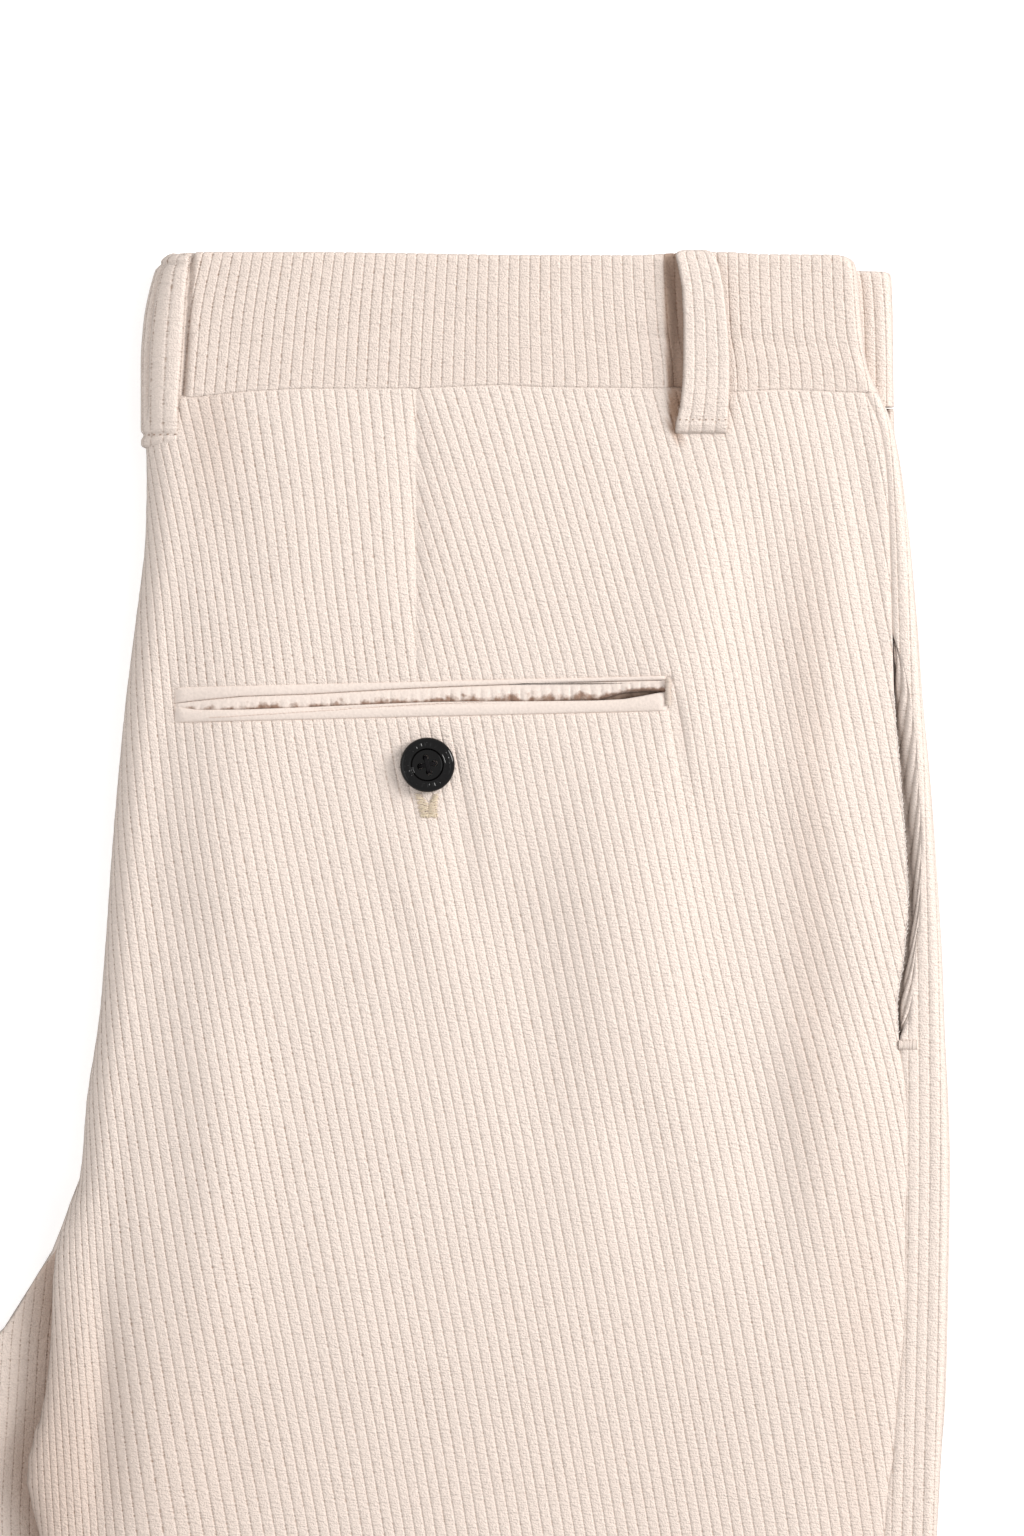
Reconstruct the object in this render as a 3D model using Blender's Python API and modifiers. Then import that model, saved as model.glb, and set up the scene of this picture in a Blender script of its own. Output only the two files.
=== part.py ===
"""Cream wide-wale corduroy trousers folded in half lengthwise and laid down, back side up.

X runs across the garment, +Y towards the waist, +Z up from the surface it lies on.
The wearer's right half lies on top of the left half; the centre-back fold is on the -X side.
Sizes are in millimetres and are turned into metres where points are made.
"""
import math
from collections import namedtuple

import bmesh
import bpy
from mathutils import Matrix, Vector

MM = 0.001

# Whole garment
TOTAL_LENGTH = 1060.0
SEAM_GAP = 0.3
PANEL_WALL = 2.0
BAND_WALL = 2.6
LOOP_WALL = 2.0
TRIM_WALL = 1.2

# Waistband
BAND_TOP = 1.2
BAND_BOTTOM = 39.1
LEFT_HALF_DROP = 5.1          # how much lower the left half's side lies than the right half's
DROP_FADES_FROM = 45.0
DROP_FADES_BY = 150.0

# Hems
RIGHT_HEM = 1055.0
LEFT_HEM = 1060.0

# Folds and edges
BACK_FOLD_REACH = 9.0         # how far in the centre-back fold rounds over
BACK_FOLD_HEIGHT = 7.0        # height of the seam that runs along that fold
BACK_FOLD_GAP = 0.5           # how far the two halves part there
SIDE_FOLD_REACH = 3.0
FIRST_STEP = 0.04             # share of a fold's arc next to its seam
BACK_FOLD_STEPS = 9
LEFT_EDGE_STEPS = 7
SIDE_FOLD_STEPS = 8
CROWN_BLEND = 38.0
FOLD_FADE = 9.0
FOLD_ENDS = 0.3               # share of a soft fold over which each of its ends runs out
INNER_DEPTH = 4.7             # upper side of the back panel to underside of the front panel
BAND_INNER_DEPTH = 5.9
SIDE_DEPTH_FROM = 15.0        # from the outer edge to where the right half starts to thin
SIDE_DEPTH_BLEND = 30.0
BACK_DEPTH_BLEND = 26.0
LAYER_CLEARANCE = 0.5
OUTER_INSET = 2.8             # from an outline to the edge of the hidden layers inside it
BACK_FOLD_INSET = 5.0
HIDDEN_TOP_GAP = 0.65         # between the hidden layers and the back panel over them
LEAN_SPAN = 4.0               # half the length over which an outline's slant is measured
LEFT_EDGE_REACH = 5.0         # how far in the left half's outer edges round up
SIDE_LIP_HEIGHT = 3.4
CROTCH_LIP_HEIGHT = 3.0
TUCKED_ANGLE = 264.0          # where the leg's rolled inner edge ends, in degrees round its arc

# Changes from the seat's folded inner edge to the leg's open one: where each starts down the
# garment, and how long it takes.
Change = namedtuple("Change", "start length")
EDGE_TURNS_UNDER = Change(266.0, 34.0)
EDGE_SINKS = Change(266.0, 30.0)
LIP_SINKS = Change(262.0, 20.0)
LIP_NARROWS = Change(264.0, 40.0)
LAYERS_DROP = Change(256.0, 16.0)

# Back pocket, given along its own slightly tilted line
POCKET_X = -1.0
POCKET_DOWN = 128.2
POCKET_TILT = math.radians(1.35)
POCKET_LENGTH = 141.2
POCKET_HEIGHT = 8.4
WINDOW_MIDDLE = 14.0          # height of the middle of the cutter for its window
WINDOW_DEPTH = 20.0

# Button
BUTTON_X = 1.0
BUTTON_DOWN = 147.1
BUTTON_RADIUS = 7.8
BUTTON_HEIGHT = 3.2
BUTTON_HOLE_RADIUS = 0.85
BUTTON_HOLE_SPACING = 2.1
BUTTON_TURN = math.radians(13.0)

# Belt loops
LOOP_ARCH = 1.7
LOOP_END = 5.0
LOOP_REST = 0.9
LOOP_TOP_REST = 1.0
LOOP_WALES = 4

# Wales of the corduroy, raised where the piece is short enough for its wales to run across it
WALE_HEIGHT = 0.5
BAND_WALES = 65               # 3 mm apart

# A row for each section down the garment. right_* belong to the right half on top, left_* to the
# left half below. seam is the side seam, mouth the front edge of the side pocket's mouth.
# crown, back_side and outer_side are the heights of the upper side in the middle and near its
# edges, outer_depth and back_depth the thickness of the right half there.
Section = namedtuple(
    "Section",
    "down right_in right_out left_in left_out seam mouth "
    "crown back_side outer_side outer_depth back_depth",
)
SECTIONS = [
    Section(0, -72.0, 121.0, -72.0, 134.2, 118.0, 118.3, 14.0, 13.4, 13.4, 6.6, 5.9),
    Section(3, -74.8, 123.4, -74.8, 134.4, 120.0, 120.3, 14.0, 13.4, 13.4, 6.6, 5.9),
    Section(9, -77.0, 124.3, -77.0, 134.7, 121.0, 121.3, 14.1, 13.4, 13.4, 6.6, 5.9),
    Section(20, -79.2, 125.2, -79.2, 134.9, 122.0, 122.3, 14.2, 13.4, 13.4, 6.6, 5.9),
    Section(32, -80.0, 126.8, -80.0, 135.0, 124.0, 124.3, 14.1, 13.4, 13.4, 6.6, 5.9),
    Section(40, -80.0, 130.5, -80.0, 135.1, 126.6, 126.9, 14.2, 13.3, 13.1, 6.5, 4.7),
    Section(50, -80.0, 134.3, -80.0, 135.4, 130.4, 130.7, 14.9, 13.3, 13.1, 6.5, 4.7),
    Section(64, -79.7, 136.8, -79.7, 135.6, 132.4, 132.7, 15.6, 13.5, 13.2, 6.6, 4.7),
    Section(80, -80.0, 138.8, -80.0, 136.3, 133.1, 133.4, 16.3, 13.8, 13.5, 6.9, 4.7),
    Section(107, -83.0, 141.2, -83.0, 138.0, 133.8, 134.2, 17.2, 14.2, 14.0, 7.4, 4.7),
    Section(128, -85.6, 142.7, -85.6, 139.3, 134.3, 139.0, 17.8, 14.5, 14.3, 7.7, 4.7),
    Section(147, -87.5, 144.5, -87.5, 140.6, 135.8, 140.9, 18.2, 14.7, 14.4, 7.8, 4.7),
    Section(172, -89.7, 146.4, -89.7, 142.0, 137.7, 142.0, 18.4, 14.9, 14.4, 7.8, 4.7),
    Section(187, -90.7, 147.4, -90.7, 142.7, 138.3, 141.6, 18.4, 15.0, 14.4, 7.8, 4.7),
    Section(202, -91.8, 148.3, -91.8, 143.4, 137.1, 140.2, 18.3, 15.0, 14.3, 7.7, 4.7),
    Section(216, -92.9, 148.8, -92.9, 144.0, 135.2, 139.2, 18.2, 14.9, 14.2, 7.6, 4.7),
    Section(226, -94.2, 149.2, -94.2, 144.2, 135.7, 136.1, 18.1, 14.9, 14.1, 7.5, 4.7),
    Section(243, -96.9, 150.0, -96.9, 144.6, 138.0, 138.3, 17.9, 14.8, 13.9, 7.2, 4.7),
    Section(264, -98.6, 150.6, -98.6, 144.9, 138.3, 138.6, 17.6, 14.5, 13.7, 7.0, 5.2),
    Section(277, -103.3, 150.4, -103.3, 144.9, 137.5, 137.8, 17.4, 14.0, 13.6, 6.9, 6.6),
    Section(284, -105.1, 150.3, -105.7, 144.8, 137.6, 137.9, 17.3, 13.7, 13.5, 6.9, 7.4),
    Section(292, -106.3, 150.1, -110.8, 144.6, 137.7, 138.0, 17.2, 13.5, 13.5, 6.8, 7.7),
    Section(309, -106.9, 149.8, -121.1, 144.2, 137.2, 137.5, 17.0, 13.4, 13.4, 6.8, 7.8),
    Section(327, -108.6, 149.3, -139.5, 143.6, 135.4, 135.7, 16.7, 13.4, 13.3, 6.7, 7.8),
    Section(345, -113.4, 148.1, -150.2, 142.8, 134.2, 134.5, 16.4, 13.3, 13.2, 6.6, 7.7),
    Section(352, -114.0, 147.7, -150.6, 142.5, 132.9, 133.2, 16.3, 13.3, 13.2, 6.6, 7.7),
    Section(367, -110.5, 146.9, -147.5, 141.8, 131.7, 132.0, 16.1, 13.3, 13.1, 6.5, 7.7),
    Section(400, -107.5, 145.3, -139.0, 140.2, 129.8, 130.1, 15.7, 13.2, 13.0, 6.4, 7.6),
    Section(450, -104.0, 143.0, -128.0, 138.0, 127.3, 127.6, 15.3, 13.0, 12.8, 6.2, 7.4),
    Section(520, -98.5, 140.0, -117.0, 135.4, 123.8, 124.1, 15.0, 12.8, 12.6, 6.0, 7.2),
    Section(620, -93.0, 136.2, -107.5, 132.0, 119.7, 120.0, 14.6, 12.5, 12.4, 5.8, 6.9),
    Section(800, -87.5, 131.0, -98.5, 127.3, 114.8, 115.1, 14.0, 12.2, 12.2, 5.6, 6.6),
    Section(1060, -84.0, 126.5, -94.5, 123.0, 110.3, 110.6, 13.0, 12.0, 12.0, 5.4, 6.4),
]

# A row for each soft fold of the upper side: where it starts and ends, how far it bows sideways,
# its half width, and its height, which is negative for a trough.
Fold = namedtuple("Fold", "from_x from_down to_x to_down bow half_width height")
FOLDS = [
    Fold(90.0, 56, 77.0, 142, -3.0, 12.0, 1.3),
    Fold(76.0, 130, 85.0, 262, -4.0, 11.0, 1.5),
    Fold(108.5, 50, 106.0, 158, -4.0, 9.0, -1.6),
    Fold(106.5, 145, 117.0, 236, 0.0, 9.0, -1.7),
    Fold(121.0, 46, 129.0, 132, 1.5, 4.5, -0.7),
    Fold(79.0, 133, 99.0, 318, 5.0, 8.0, -1.2),
    Fold(-67.0, 178, -46.0, 240, 0.0, 10.0, -0.9),
    Fold(20.0, 165, 49.0, 282, 3.0, 12.0, -1.1),
    Fold(-8.0, 160, 3.0, 222, 0.0, 12.0, 0.8),
    Fold(-2.3, 36, -2.3, 114, 0.0, 4.0, -0.7),
    Fold(-101.0, 276, -89.0, 372, 3.0, 4.5, -1.5),
    Fold(-88.0, 360, -76.0, 520, 0.0, 8.0, -1.2),
    Fold(30.0, 330, 8.0, 560, -6.0, 16.0, 1.0),
    Fold(-50.0, 400, 20.0, 560, 8.0, 11.0, -1.1),
    Fold(96.0, 420, 52.0, 610, 7.0, 12.0, -1.2),
    Fold(-66.0, 560, -8.0, 668, 5.0, 9.0, -1.0),
    Fold(98.0, 600, 60.0, 735, -6.0, 10.0, -1.1),
    Fold(18.0, 690, 34.0, 1000, 5.0, 18.0, 0.9),
    Fold(-52.0, 740, -34.0, 960, -6.0, 12.0, -0.9),
    Fold(82.0, 800, 66.0, 1010, 4.0, 11.0, -0.8),
]

# Rows down the panels, closer together where the seat's folds and pockets are.
PANEL_ROWS = [
    39.8, 50, 62, 76, 91, 107, 121, 135, 147, 160, 176, 192, 209, 226, 242, 256, 264, 272,
    279, 286, 294, 303, 313, 325, 337, 348, 360, 376, 410, 460, 530, 620, 730, 880,
]
BAND_ROWS = [0.0, 0.1, 0.5, 1.0]
HIDDEN_FIRST = 40.6
HIDDEN_HEM_INSET = 0.8
HIDDEN_ROWS = [HIDDEN_FIRST] + PANEL_ROWS[1:] + [LEFT_HEM - HIDDEN_HEM_INSET]
FRONT_STRIP = (0.0, 0.35, 0.7)        # shares across the front panel's strip beside the seam
ACROSS = 18
TUCKED_UNDER = 5              # of those, how many the front panel reaches back beneath
EDGE_CROWDING = 0.07

# A row for each cut that parts the hidden layers at the hems: the right leg's layer ends
# sooner than the left leg's, and a slot runs between them and through the lower one.
HemCut = namedtuple("HemCut", "name down height depth thickness")
HEM_CUTS = [
    HemCut("right_hem_step", 1061.0, 10.6, 12.0, 11.0),
    HemCut("right_hem_slot", 1055.0, 7.6, 12.0, 0.6),
    HemCut("left_hem_slot", 1060.0, 3.7, 10.0, 0.6),
]
HEM_CUT_X = 10.0
HEM_CUT_WIDTH = 300.0

# Outline of the hidden layers' edge: how far in from the edge, as a share of the rounding,
# and how high, as a share of the stack. The groove in the middle parts its two layers.
EdgePoint = namedtuple("EdgePoint", "inward rise")
LAYERED_EDGE = [
    EdgePoint(0.70, 0.02),
    EdgePoint(0.06, 0.20),
    EdgePoint(0.00, 0.34),
    EdgePoint(0.24, 0.50),
    EdgePoint(0.00, 0.66),
    EdgePoint(0.06, 0.82),
    EdgePoint(0.70, 0.98),
]
OUTER_ROUNDING = 3.2
INNER_ROUNDING = 6.0
STEP_REACH = 0.8              # half the width of the step down to the tucked front panel
STEP_TO_EDGE = 6.0            # the least distance from that step's side to the outer edge
BASE_TO_EDGE = 4.0

# A row for each section down the side back loop: its left and right edges.
LoopSection = namedtuple("LoopSection", "down left right")
SIDE_LOOP = [
    LoopSection(0.0, 71.6, 82.0),
    LoopSection(1.6, 71.4, 83.2),
    LoopSection(5.0, 72.6, 84.4),
    LoopSection(11.0, 73.6, 85.6),
    LoopSection(20.0, 74.0, 86.6),
    LoopSection(30.0, 74.0, 87.3),
    LoopSection(38.0, 73.8, 87.3),
    LoopSection(45.0, 73.0, 87.0),
    LoopSection(49.0, 72.0, 86.9),
    LoopSection(52.6, 71.6, 86.9),
]
LOOP_COLUMNS = 2 * LOOP_WALES
BACK_LOOP_ROWS = [0.0, 1.6, 5, 10, 17, 25, 33, 40, 46, 51, 56.3]
BACK_LOOP_END_X = -68.4
BACK_LOOP_START = math.radians(184.0)

# A row for each strip of the back pocket: its lower and upper edges above the pocket's line
# and how high its edges and its middle stand off the panel's outer side.
Strip = namedtuple("Strip", "name lower upper edge_rise middle_rise")
POCKET_STRIPS = [
    Strip("back_pocket_upper_welt", 0.9, 3.85, 0.0, 0.35),
    Strip("back_pocket_facing", -0.9, 0.6, -0.7, -0.7),
    Strip("back_pocket_lower_welt", -3.85, -1.25, 0.15, 0.5),
]
STRIP_SHARES = (1.0, 0.75, 0.25, 0.0)
STRIP_COLUMNS = 20
SLIT_OPENS_FROM = 40.0
SLIT_OPENING = 14.0           # length over which it opens, and over which it closes again
SLIT_OPENS_BY = 1.3
SLIT_CLOSING = 12.0
SLIT_CLOSES_AT = 66.0
FACING_LEFT = 0.5             # the least of the facing that stays beside the gaping slit

# Side pocket facing
FACING_ROWS = [103, 112, 121, 130, 140, 150, 160, 170, 180, 190, 200, 208, 216, 223, 228]
FACING_CLEARANCE = 1.1        # from its front edge to the front panel
FACING_DEPTH = 3.6            # how deep it lies behind the back panel's edge
FACING_RISE = 2.7
FACING_RISES_AT = 4.0         # the width at which it rises in full
FACING_TUCK = 5.0             # how far it reaches under the back panel
FACING_COLUMNS = (-0.8, -0.4, 0.0, 0.3, 0.65, 1.0)    # shares of the tuck, then of the width

# Outline of the button from the middle of its dish out and round to its underside: distance
# from its axis and height, as shares of its radius and thickness.
ButtonPoint = namedtuple("ButtonPoint", "reach rise")
BUTTON_OUTLINE = [
    ButtonPoint(0.00, 0.72),
    ButtonPoint(0.50, 0.72),
    ButtonPoint(0.56, 0.78),
    ButtonPoint(0.64, 0.97),
    ButtonPoint(0.72, 1.00),
    ButtonPoint(0.88, 0.97),
    ButtonPoint(0.96, 0.86),
    ButtonPoint(1.00, 0.66),
    ButtonPoint(0.99, 0.42),
    ButtonPoint(0.90, 0.16),
    ButtonPoint(0.72, 0.02),
    ButtonPoint(0.55, 0.00),
    ButtonPoint(0.00, 0.00),
]
BUTTON_SIDES = 26
BUTTON_SEAT = 0.8             # share of its radius at which it rests on the cloth
BUTTON_HOLES = 4
HOLE_SIDES = 12

CREAM = (0.815, 0.715, 0.605, 1.0)
BLACK = (0.012, 0.012, 0.014, 1.0)
SHARP_ANGLE = math.radians(50.0)


def fresh_scene():
    """Empty the file and return the collections for the trousers and for their cutters."""
    for thing in list(bpy.data.objects):
        bpy.data.objects.remove(thing, do_unlink=True)
    parts = bpy.data.collections.new("corduroy_trousers")
    cutters = bpy.data.collections.new("cutters")
    for group in (parts, cutters):
        bpy.context.scene.collection.children.link(group)
    return parts, cutters


def make_material(name, colour, roughness):
    """A Principled material with its colour, roughness and no metal."""
    material = bpy.data.materials.new(name)
    material.use_nodes = True
    shader = material.node_tree.nodes["Principled BSDF"]
    shader.inputs["Base Color"].default_value = colour
    shader.inputs["Roughness"].default_value = roughness
    shader.inputs["Metallic"].default_value = 0.0
    return material


def clamp(value, low=0.0, high=1.0):
    """Hold a value between two limits."""
    return max(low, min(high, value))


def ease(value):
    """Rise smoothly from 0 to 1."""
    step = clamp(value)
    return step * step * (3.0 - 2.0 * step)


def mix(start, end, share):
    """Blend two values."""
    return start + (end - start) * share


def slope_at(index, column):
    """Slope of a column at one of the rows, flat at its peaks so that it never overshoots."""
    if index == 0 or index == len(SECTIONS) - 1:
        return 0.0
    before, here, after = SECTIONS[index - 1], SECTIONS[index], SECTIONS[index + 1]
    left = (getattr(here, column) - getattr(before, column)) / (here.down - before.down)
    right = (getattr(after, column) - getattr(here, column)) / (after.down - here.down)
    if left * right <= 0.0:
        return 0.0
    return 2.0 * left * right / (left + right)


def size_at(column, down):
    """One column of the sections at any distance down the garment."""
    place = clamp(down, SECTIONS[0].down, SECTIONS[-1].down)
    index = 0
    while index < len(SECTIONS) - 2 and SECTIONS[index + 1].down < place:
        index += 1
    first, second = SECTIONS[index], SECTIONS[index + 1]
    span = second.down - first.down
    share = (place - first.down) / span
    squared, cubed = share * share, share * share * share
    return (
        (2 * cubed - 3 * squared + 1) * getattr(first, column)
        + (cubed - 2 * squared + share) * span * slope_at(index, column)
        + (3 * squared - 2 * cubed) * getattr(second, column)
        + (cubed - squared) * span * slope_at(index + 1, column)
    )


def fold_height(x, down):
    """Sum of the soft folds at a place on the upper side."""
    total = 0.0
    for fold in FOLDS:
        length = fold.to_down - fold.from_down
        share = (down - fold.from_down) / length
        if share <= 0.0 or share >= 1.0:
            continue
        middle = mix(fold.from_x, fold.to_x, share) + fold.bow * 4.0 * share * (1.0 - share)
        fade = ease(share / FOLD_ENDS) * ease((1.0 - share) / FOLD_ENDS)
        total += fold.height * fade * math.exp(-0.5 * ((x - middle) / fold.half_width) ** 2)
    return total


def upper_range(down):
    """Where the flat of the right half's upper side begins and ends."""
    low = size_at("right_in", down) + BACK_FOLD_REACH
    high = size_at("right_out", down) - SIDE_FOLD_REACH
    return low, high


def skin(x, down):
    """Height of the right half's upper side."""
    low, high = upper_range(down)
    place = clamp(x, low, high)
    crown = size_at("crown", down)
    from_back = 1.0 - ease((place - low) / CROWN_BLEND)
    from_side = 1.0 - ease((high - place) / CROWN_BLEND)
    height = crown - (crown - size_at("back_side", down)) * from_back
    height -= (crown - size_at("outer_side", down)) * from_side
    fade = ease((place - low) / FOLD_FADE) * ease((high - place) / FOLD_FADE)
    return height + fold_height(place, down) * fade


def underside(x, down, inner_depth):
    """Height of the right half's underside."""
    low, high = upper_range(down)
    place = clamp(x, low, high)
    from_side = 1.0 - ease((high - place - SIDE_DEPTH_FROM) / SIDE_DEPTH_BLEND)
    from_back = 1.0 - ease((place - low) / BACK_DEPTH_BLEND)
    depth = inner_depth
    depth += (size_at("outer_depth", down) - inner_depth) * from_side
    depth += (size_at("back_depth", down) - inner_depth) * from_back
    return skin(x, down) - depth


def edge_height(down):
    """Height of the right half's upper side beside its inner edge."""
    return skin(upper_range(down)[0], down)


def roll_bottom(down):
    """Height of the underside of the leg's rolled inner edge."""
    return edge_height(down) - size_at("back_depth", down)


def changed(change, down):
    """How far one of the changes has gone."""
    return ease((down - change.start) / change.length)


def tucked_angle(down):
    """Where the back panel's inner edge ends: on the fold at the seat, tucked under at the leg."""
    return math.radians(mix(180.0, TUCKED_ANGLE, changed(EDGE_TURNS_UNDER, down)))


def seam_height(down):
    """Height of the right half's inner edge: half way up at the seat, low at the leg."""
    roll = mix(roll_bottom(down), edge_height(down), 0.5)
    return mix(BACK_FOLD_HEIGHT + 0.5 * BACK_FOLD_GAP, roll, changed(EDGE_SINKS, down))


def left_lip(down):
    """Height of the left half's inner edge: half way up at the seat, low at the leg."""
    seat = BACK_FOLD_HEIGHT - 0.5 * BACK_FOLD_GAP
    return mix(seat, CROTCH_LIP_HEIGHT, changed(LIP_SINKS, down))


def point(x, down, height):
    """A point of the garment in metres."""
    return Vector((x * MM, (0.5 * TOTAL_LENGTH - down) * MM, height * MM))


def new_object(name, mesh, material, collection):
    """Link a mesh as a named object with its material."""
    thing = bpy.data.objects.new(name, mesh)
    mesh.materials.append(material)
    collection.objects.link(thing)
    return thing


def apply_modifiers(thing):
    """Turn an object's modifiers into its mesh."""
    bpy.context.view_layer.update()
    graph = bpy.context.evaluated_depsgraph_get()
    finished = bpy.data.meshes.new_from_object(thing.evaluated_get(graph))
    old = thing.data
    thing.modifiers.clear()
    thing.data = finished
    finished.name = thing.name
    bpy.data.meshes.remove(old)


def grid_mesh(name, rows):
    """An open sheet through rows of points, each row as long as the next."""
    mesh = bpy.data.meshes.new(name)
    work = bmesh.new()
    corners = [[work.verts.new(spot) for spot in row] for row in rows]
    for upper, lower in zip(corners, corners[1:]):
        for index in range(len(upper) - 1):
            work.faces.new(
                (upper[index], lower[index], lower[index + 1], upper[index + 1])
            )
    work.to_mesh(mesh)
    work.free()
    return mesh


def cloth_wall(name, rows, wall, material, collection, ridges=None):
    """A cloth wall whose outer side passes through the rows.

    ridges holds how far each outer point is raised, over a plain inside.
    """
    thing = new_object(name, grid_mesh(name, rows), material, collection)
    count = len(thing.data.vertices)
    solid = thing.modifiers.new("wall", "SOLIDIFY")
    solid.thickness = wall * MM
    solid.offset = -1.0
    solid.use_even_offset = True
    apply_modifiers(thing)
    if ridges:
        normals = [Vector(corner.normal) for corner in thing.data.vertices]
        for index, lift in enumerate(ridges[:count]):
            thing.data.vertices[index].co += normals[index] * lift * MM
    return thing


def closed_loft(name, rings, material, collection):
    """A solid through closed rings of points, with a flat face at each end."""
    mesh = bpy.data.meshes.new(name)
    work = bmesh.new()
    corners = [[work.verts.new(spot) for spot in ring] for ring in rings]
    around = len(corners[0])
    for upper, lower in zip(corners, corners[1:]):
        for index in range(around):
            after = (index + 1) % around
            work.faces.new((upper[index], lower[index], lower[after], upper[after]))
    work.faces.new(corners[0])
    work.faces.new(list(reversed(corners[-1])))
    bmesh.ops.recalc_face_normals(work, faces=work.faces)
    work.to_mesh(mesh)
    work.free()
    return new_object(name, mesh, material, collection)


def cut(thing, cutter):
    """Take a cutter's shape out of an object."""
    tool = thing.modifiers.new("cut", "BOOLEAN")
    tool.operation = "DIFFERENCE"
    tool.solver = "EXACT"
    tool.object = cutter
    apply_modifiers(thing)


def new_cutter(name, work, place, collection):
    """Link the shape in work as a named cutter at its place."""
    mesh = bpy.data.meshes.new(name)
    work.to_mesh(mesh)
    work.free()
    thing = bpy.data.objects.new(name, mesh)
    thing.location = place
    thing.hide_render = True
    thing.display_type = "WIRE"
    collection.objects.link(thing)
    return thing


def box_cutter(name, size, place, collection):
    """A box that cuts, given by its size in millimetres and the place of its middle."""
    work = bmesh.new()
    lengths = [side * MM for side in size]
    bmesh.ops.create_cube(work, size=1.0, matrix=Matrix.Diagonal((*lengths, 1.0)))
    return new_cutter(name, work, place, collection)


def back_fold_arc(down, first, last, count, upper):
    """Points round the centre-back fold or the leg's rolled inner edge.

    The first step is short, so that the cloth starts square to the seam there.
    """
    inner = size_at("right_in" if upper else "left_in", down)
    middle = seam_height(down) if upper else left_lip(down)
    reach = BACK_FOLD_REACH
    top, bottom = edge_height(down) - middle, middle - roll_bottom(down)
    if not upper:
        reach = mix(BACK_FOLD_REACH, LEFT_EDGE_REACH, changed(LIP_NARROWS, down))
        bottom = middle
    shares = [0.0, FIRST_STEP] + [index / (count - 2) for index in range(1, count - 1)]
    spots = []
    for share in shares:
        angle = mix(first, last, share)
        rise = math.sin(angle) * (top if math.sin(angle) > 0.0 else bottom)
        spots.append((inner + reach * (1.0 + math.cos(angle)), middle + rise))
    return spots


def across_places(low, high):
    """Places across a panel, closer together towards both edges."""
    places = []
    for index in range(ACROSS + 1):
        share = index / ACROSS
        share -= EDGE_CROWDING * math.sin(2.0 * math.pi * share)
        places.append(mix(low, high, share))
    return places


def side_fold_arc(down, x):
    """Points round the outer fold of the right half, from its upper side to its underside."""
    top = skin(x, down)
    half = 0.5 * (top - underside(x, down, INNER_DEPTH))
    spots = []
    for index in range(1, SIDE_FOLD_STEPS):
        angle = math.pi * (0.5 - index / SIDE_FOLD_STEPS)
        spots.append((x + SIDE_FOLD_REACH * math.cos(angle), top - half + half * math.sin(angle)))
    return spots


def right_back_panel(material, parts, cutters):
    """The back panel that faces up, with the window of its pocket."""
    rows = []
    for down in PANEL_ROWS + [RIGHT_HEM]:
        first, last = tucked_angle(down), math.radians(90.0)
        arc = back_fold_arc(down, first, last, BACK_FOLD_STEPS, True)
        low = upper_range(down)[0]
        flat = [(x, skin(x, down)) for x in across_places(low, size_at("seam", down))]
        rows.append([point(x, down, height) for x, height in arc[:-1] + flat])
    panel = cloth_wall("right_back_panel", rows, PANEL_WALL, material, parts)
    size = (POCKET_LENGTH, POCKET_HEIGHT, WINDOW_DEPTH)
    place = point(POCKET_X, POCKET_DOWN, WINDOW_MIDDLE)
    window = box_cutter("pocket_window", size, place, cutters)
    window.rotation_euler.z = POCKET_TILT
    cut(panel, window)
    return panel


def right_front_panel(material, parts):
    """The front panel: a strip beyond the side seam, the outer fold, and the layer underneath."""
    rows = []
    for down in PANEL_ROWS + [RIGHT_HEM]:
        low, high = upper_range(down)
        start = size_at("mouth", down)
        lip = [mix(start, high, share) for share in FRONT_STRIP]
        spots = [(x, skin(x, down)) for x in lip]
        spots.append((high, skin(high, down)))
        spots += side_fold_arc(down, high)
        seam = size_at("seam", down)
        under = across_places(low, seam)[ACROSS - TUCKED_UNDER:]
        back = [high, mix(high, seam, 0.5)] + list(reversed(under))
        spots += [(x, underside(x, down, INNER_DEPTH)) for x in back]
        rows.append([point(x, down, height) for x, height in spots])
    return cloth_wall("right_front_panel", rows, PANEL_WALL, material, parts)


def left_drop(x, down):
    """How much lower the left half lies, most at the side of its waist."""
    low = size_at("left_in", down)
    high = size_at("left_out", down)
    share = clamp((x - low) / (high - low))
    fade = ease((down - DROP_FADES_FROM) / (DROP_FADES_BY - DROP_FADES_FROM))
    return LEFT_HALF_DROP * share * (1.0 - fade)


def left_back_panel(material, parts):
    """The back panel underneath, flat where it lies, turned up at both edges."""
    rows = []
    for down in PANEL_ROWS + [LEFT_HEM]:
        start, end = math.radians(180.0), math.radians(270.0)
        spots = back_fold_arc(down, start, end, LEFT_EDGE_STEPS, False)
        outer = size_at("left_out", down)
        low, high = spots[-1][0], outer - LEFT_EDGE_REACH
        spots += [(mix(low, high, index / 3.0), 0.0) for index in range(1, 4)]
        for index in range(1, 5):
            angle = math.radians(90.0 * index / 4.0)
            height = SIDE_LIP_HEIGHT * (1.0 - math.cos(angle))
            spots.append((high + LEFT_EDGE_REACH * math.sin(angle), height))
        rows.append(
            [point(x, down + left_drop(x, down), height) for x, height in reversed(spots)]
        )
    return cloth_wall("left_back_panel", rows, PANEL_WALL, material, parts)


def inner_outline_lean(down):
    """How much further the cloth's thickness reaches sideways where the outline runs aslant."""
    rise = size_at("left_in", down + LEAN_SPAN) - size_at("left_in", down - LEAN_SPAN)
    return math.hypot(1.0, 0.5 * rise / LEAN_SPAN)


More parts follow.
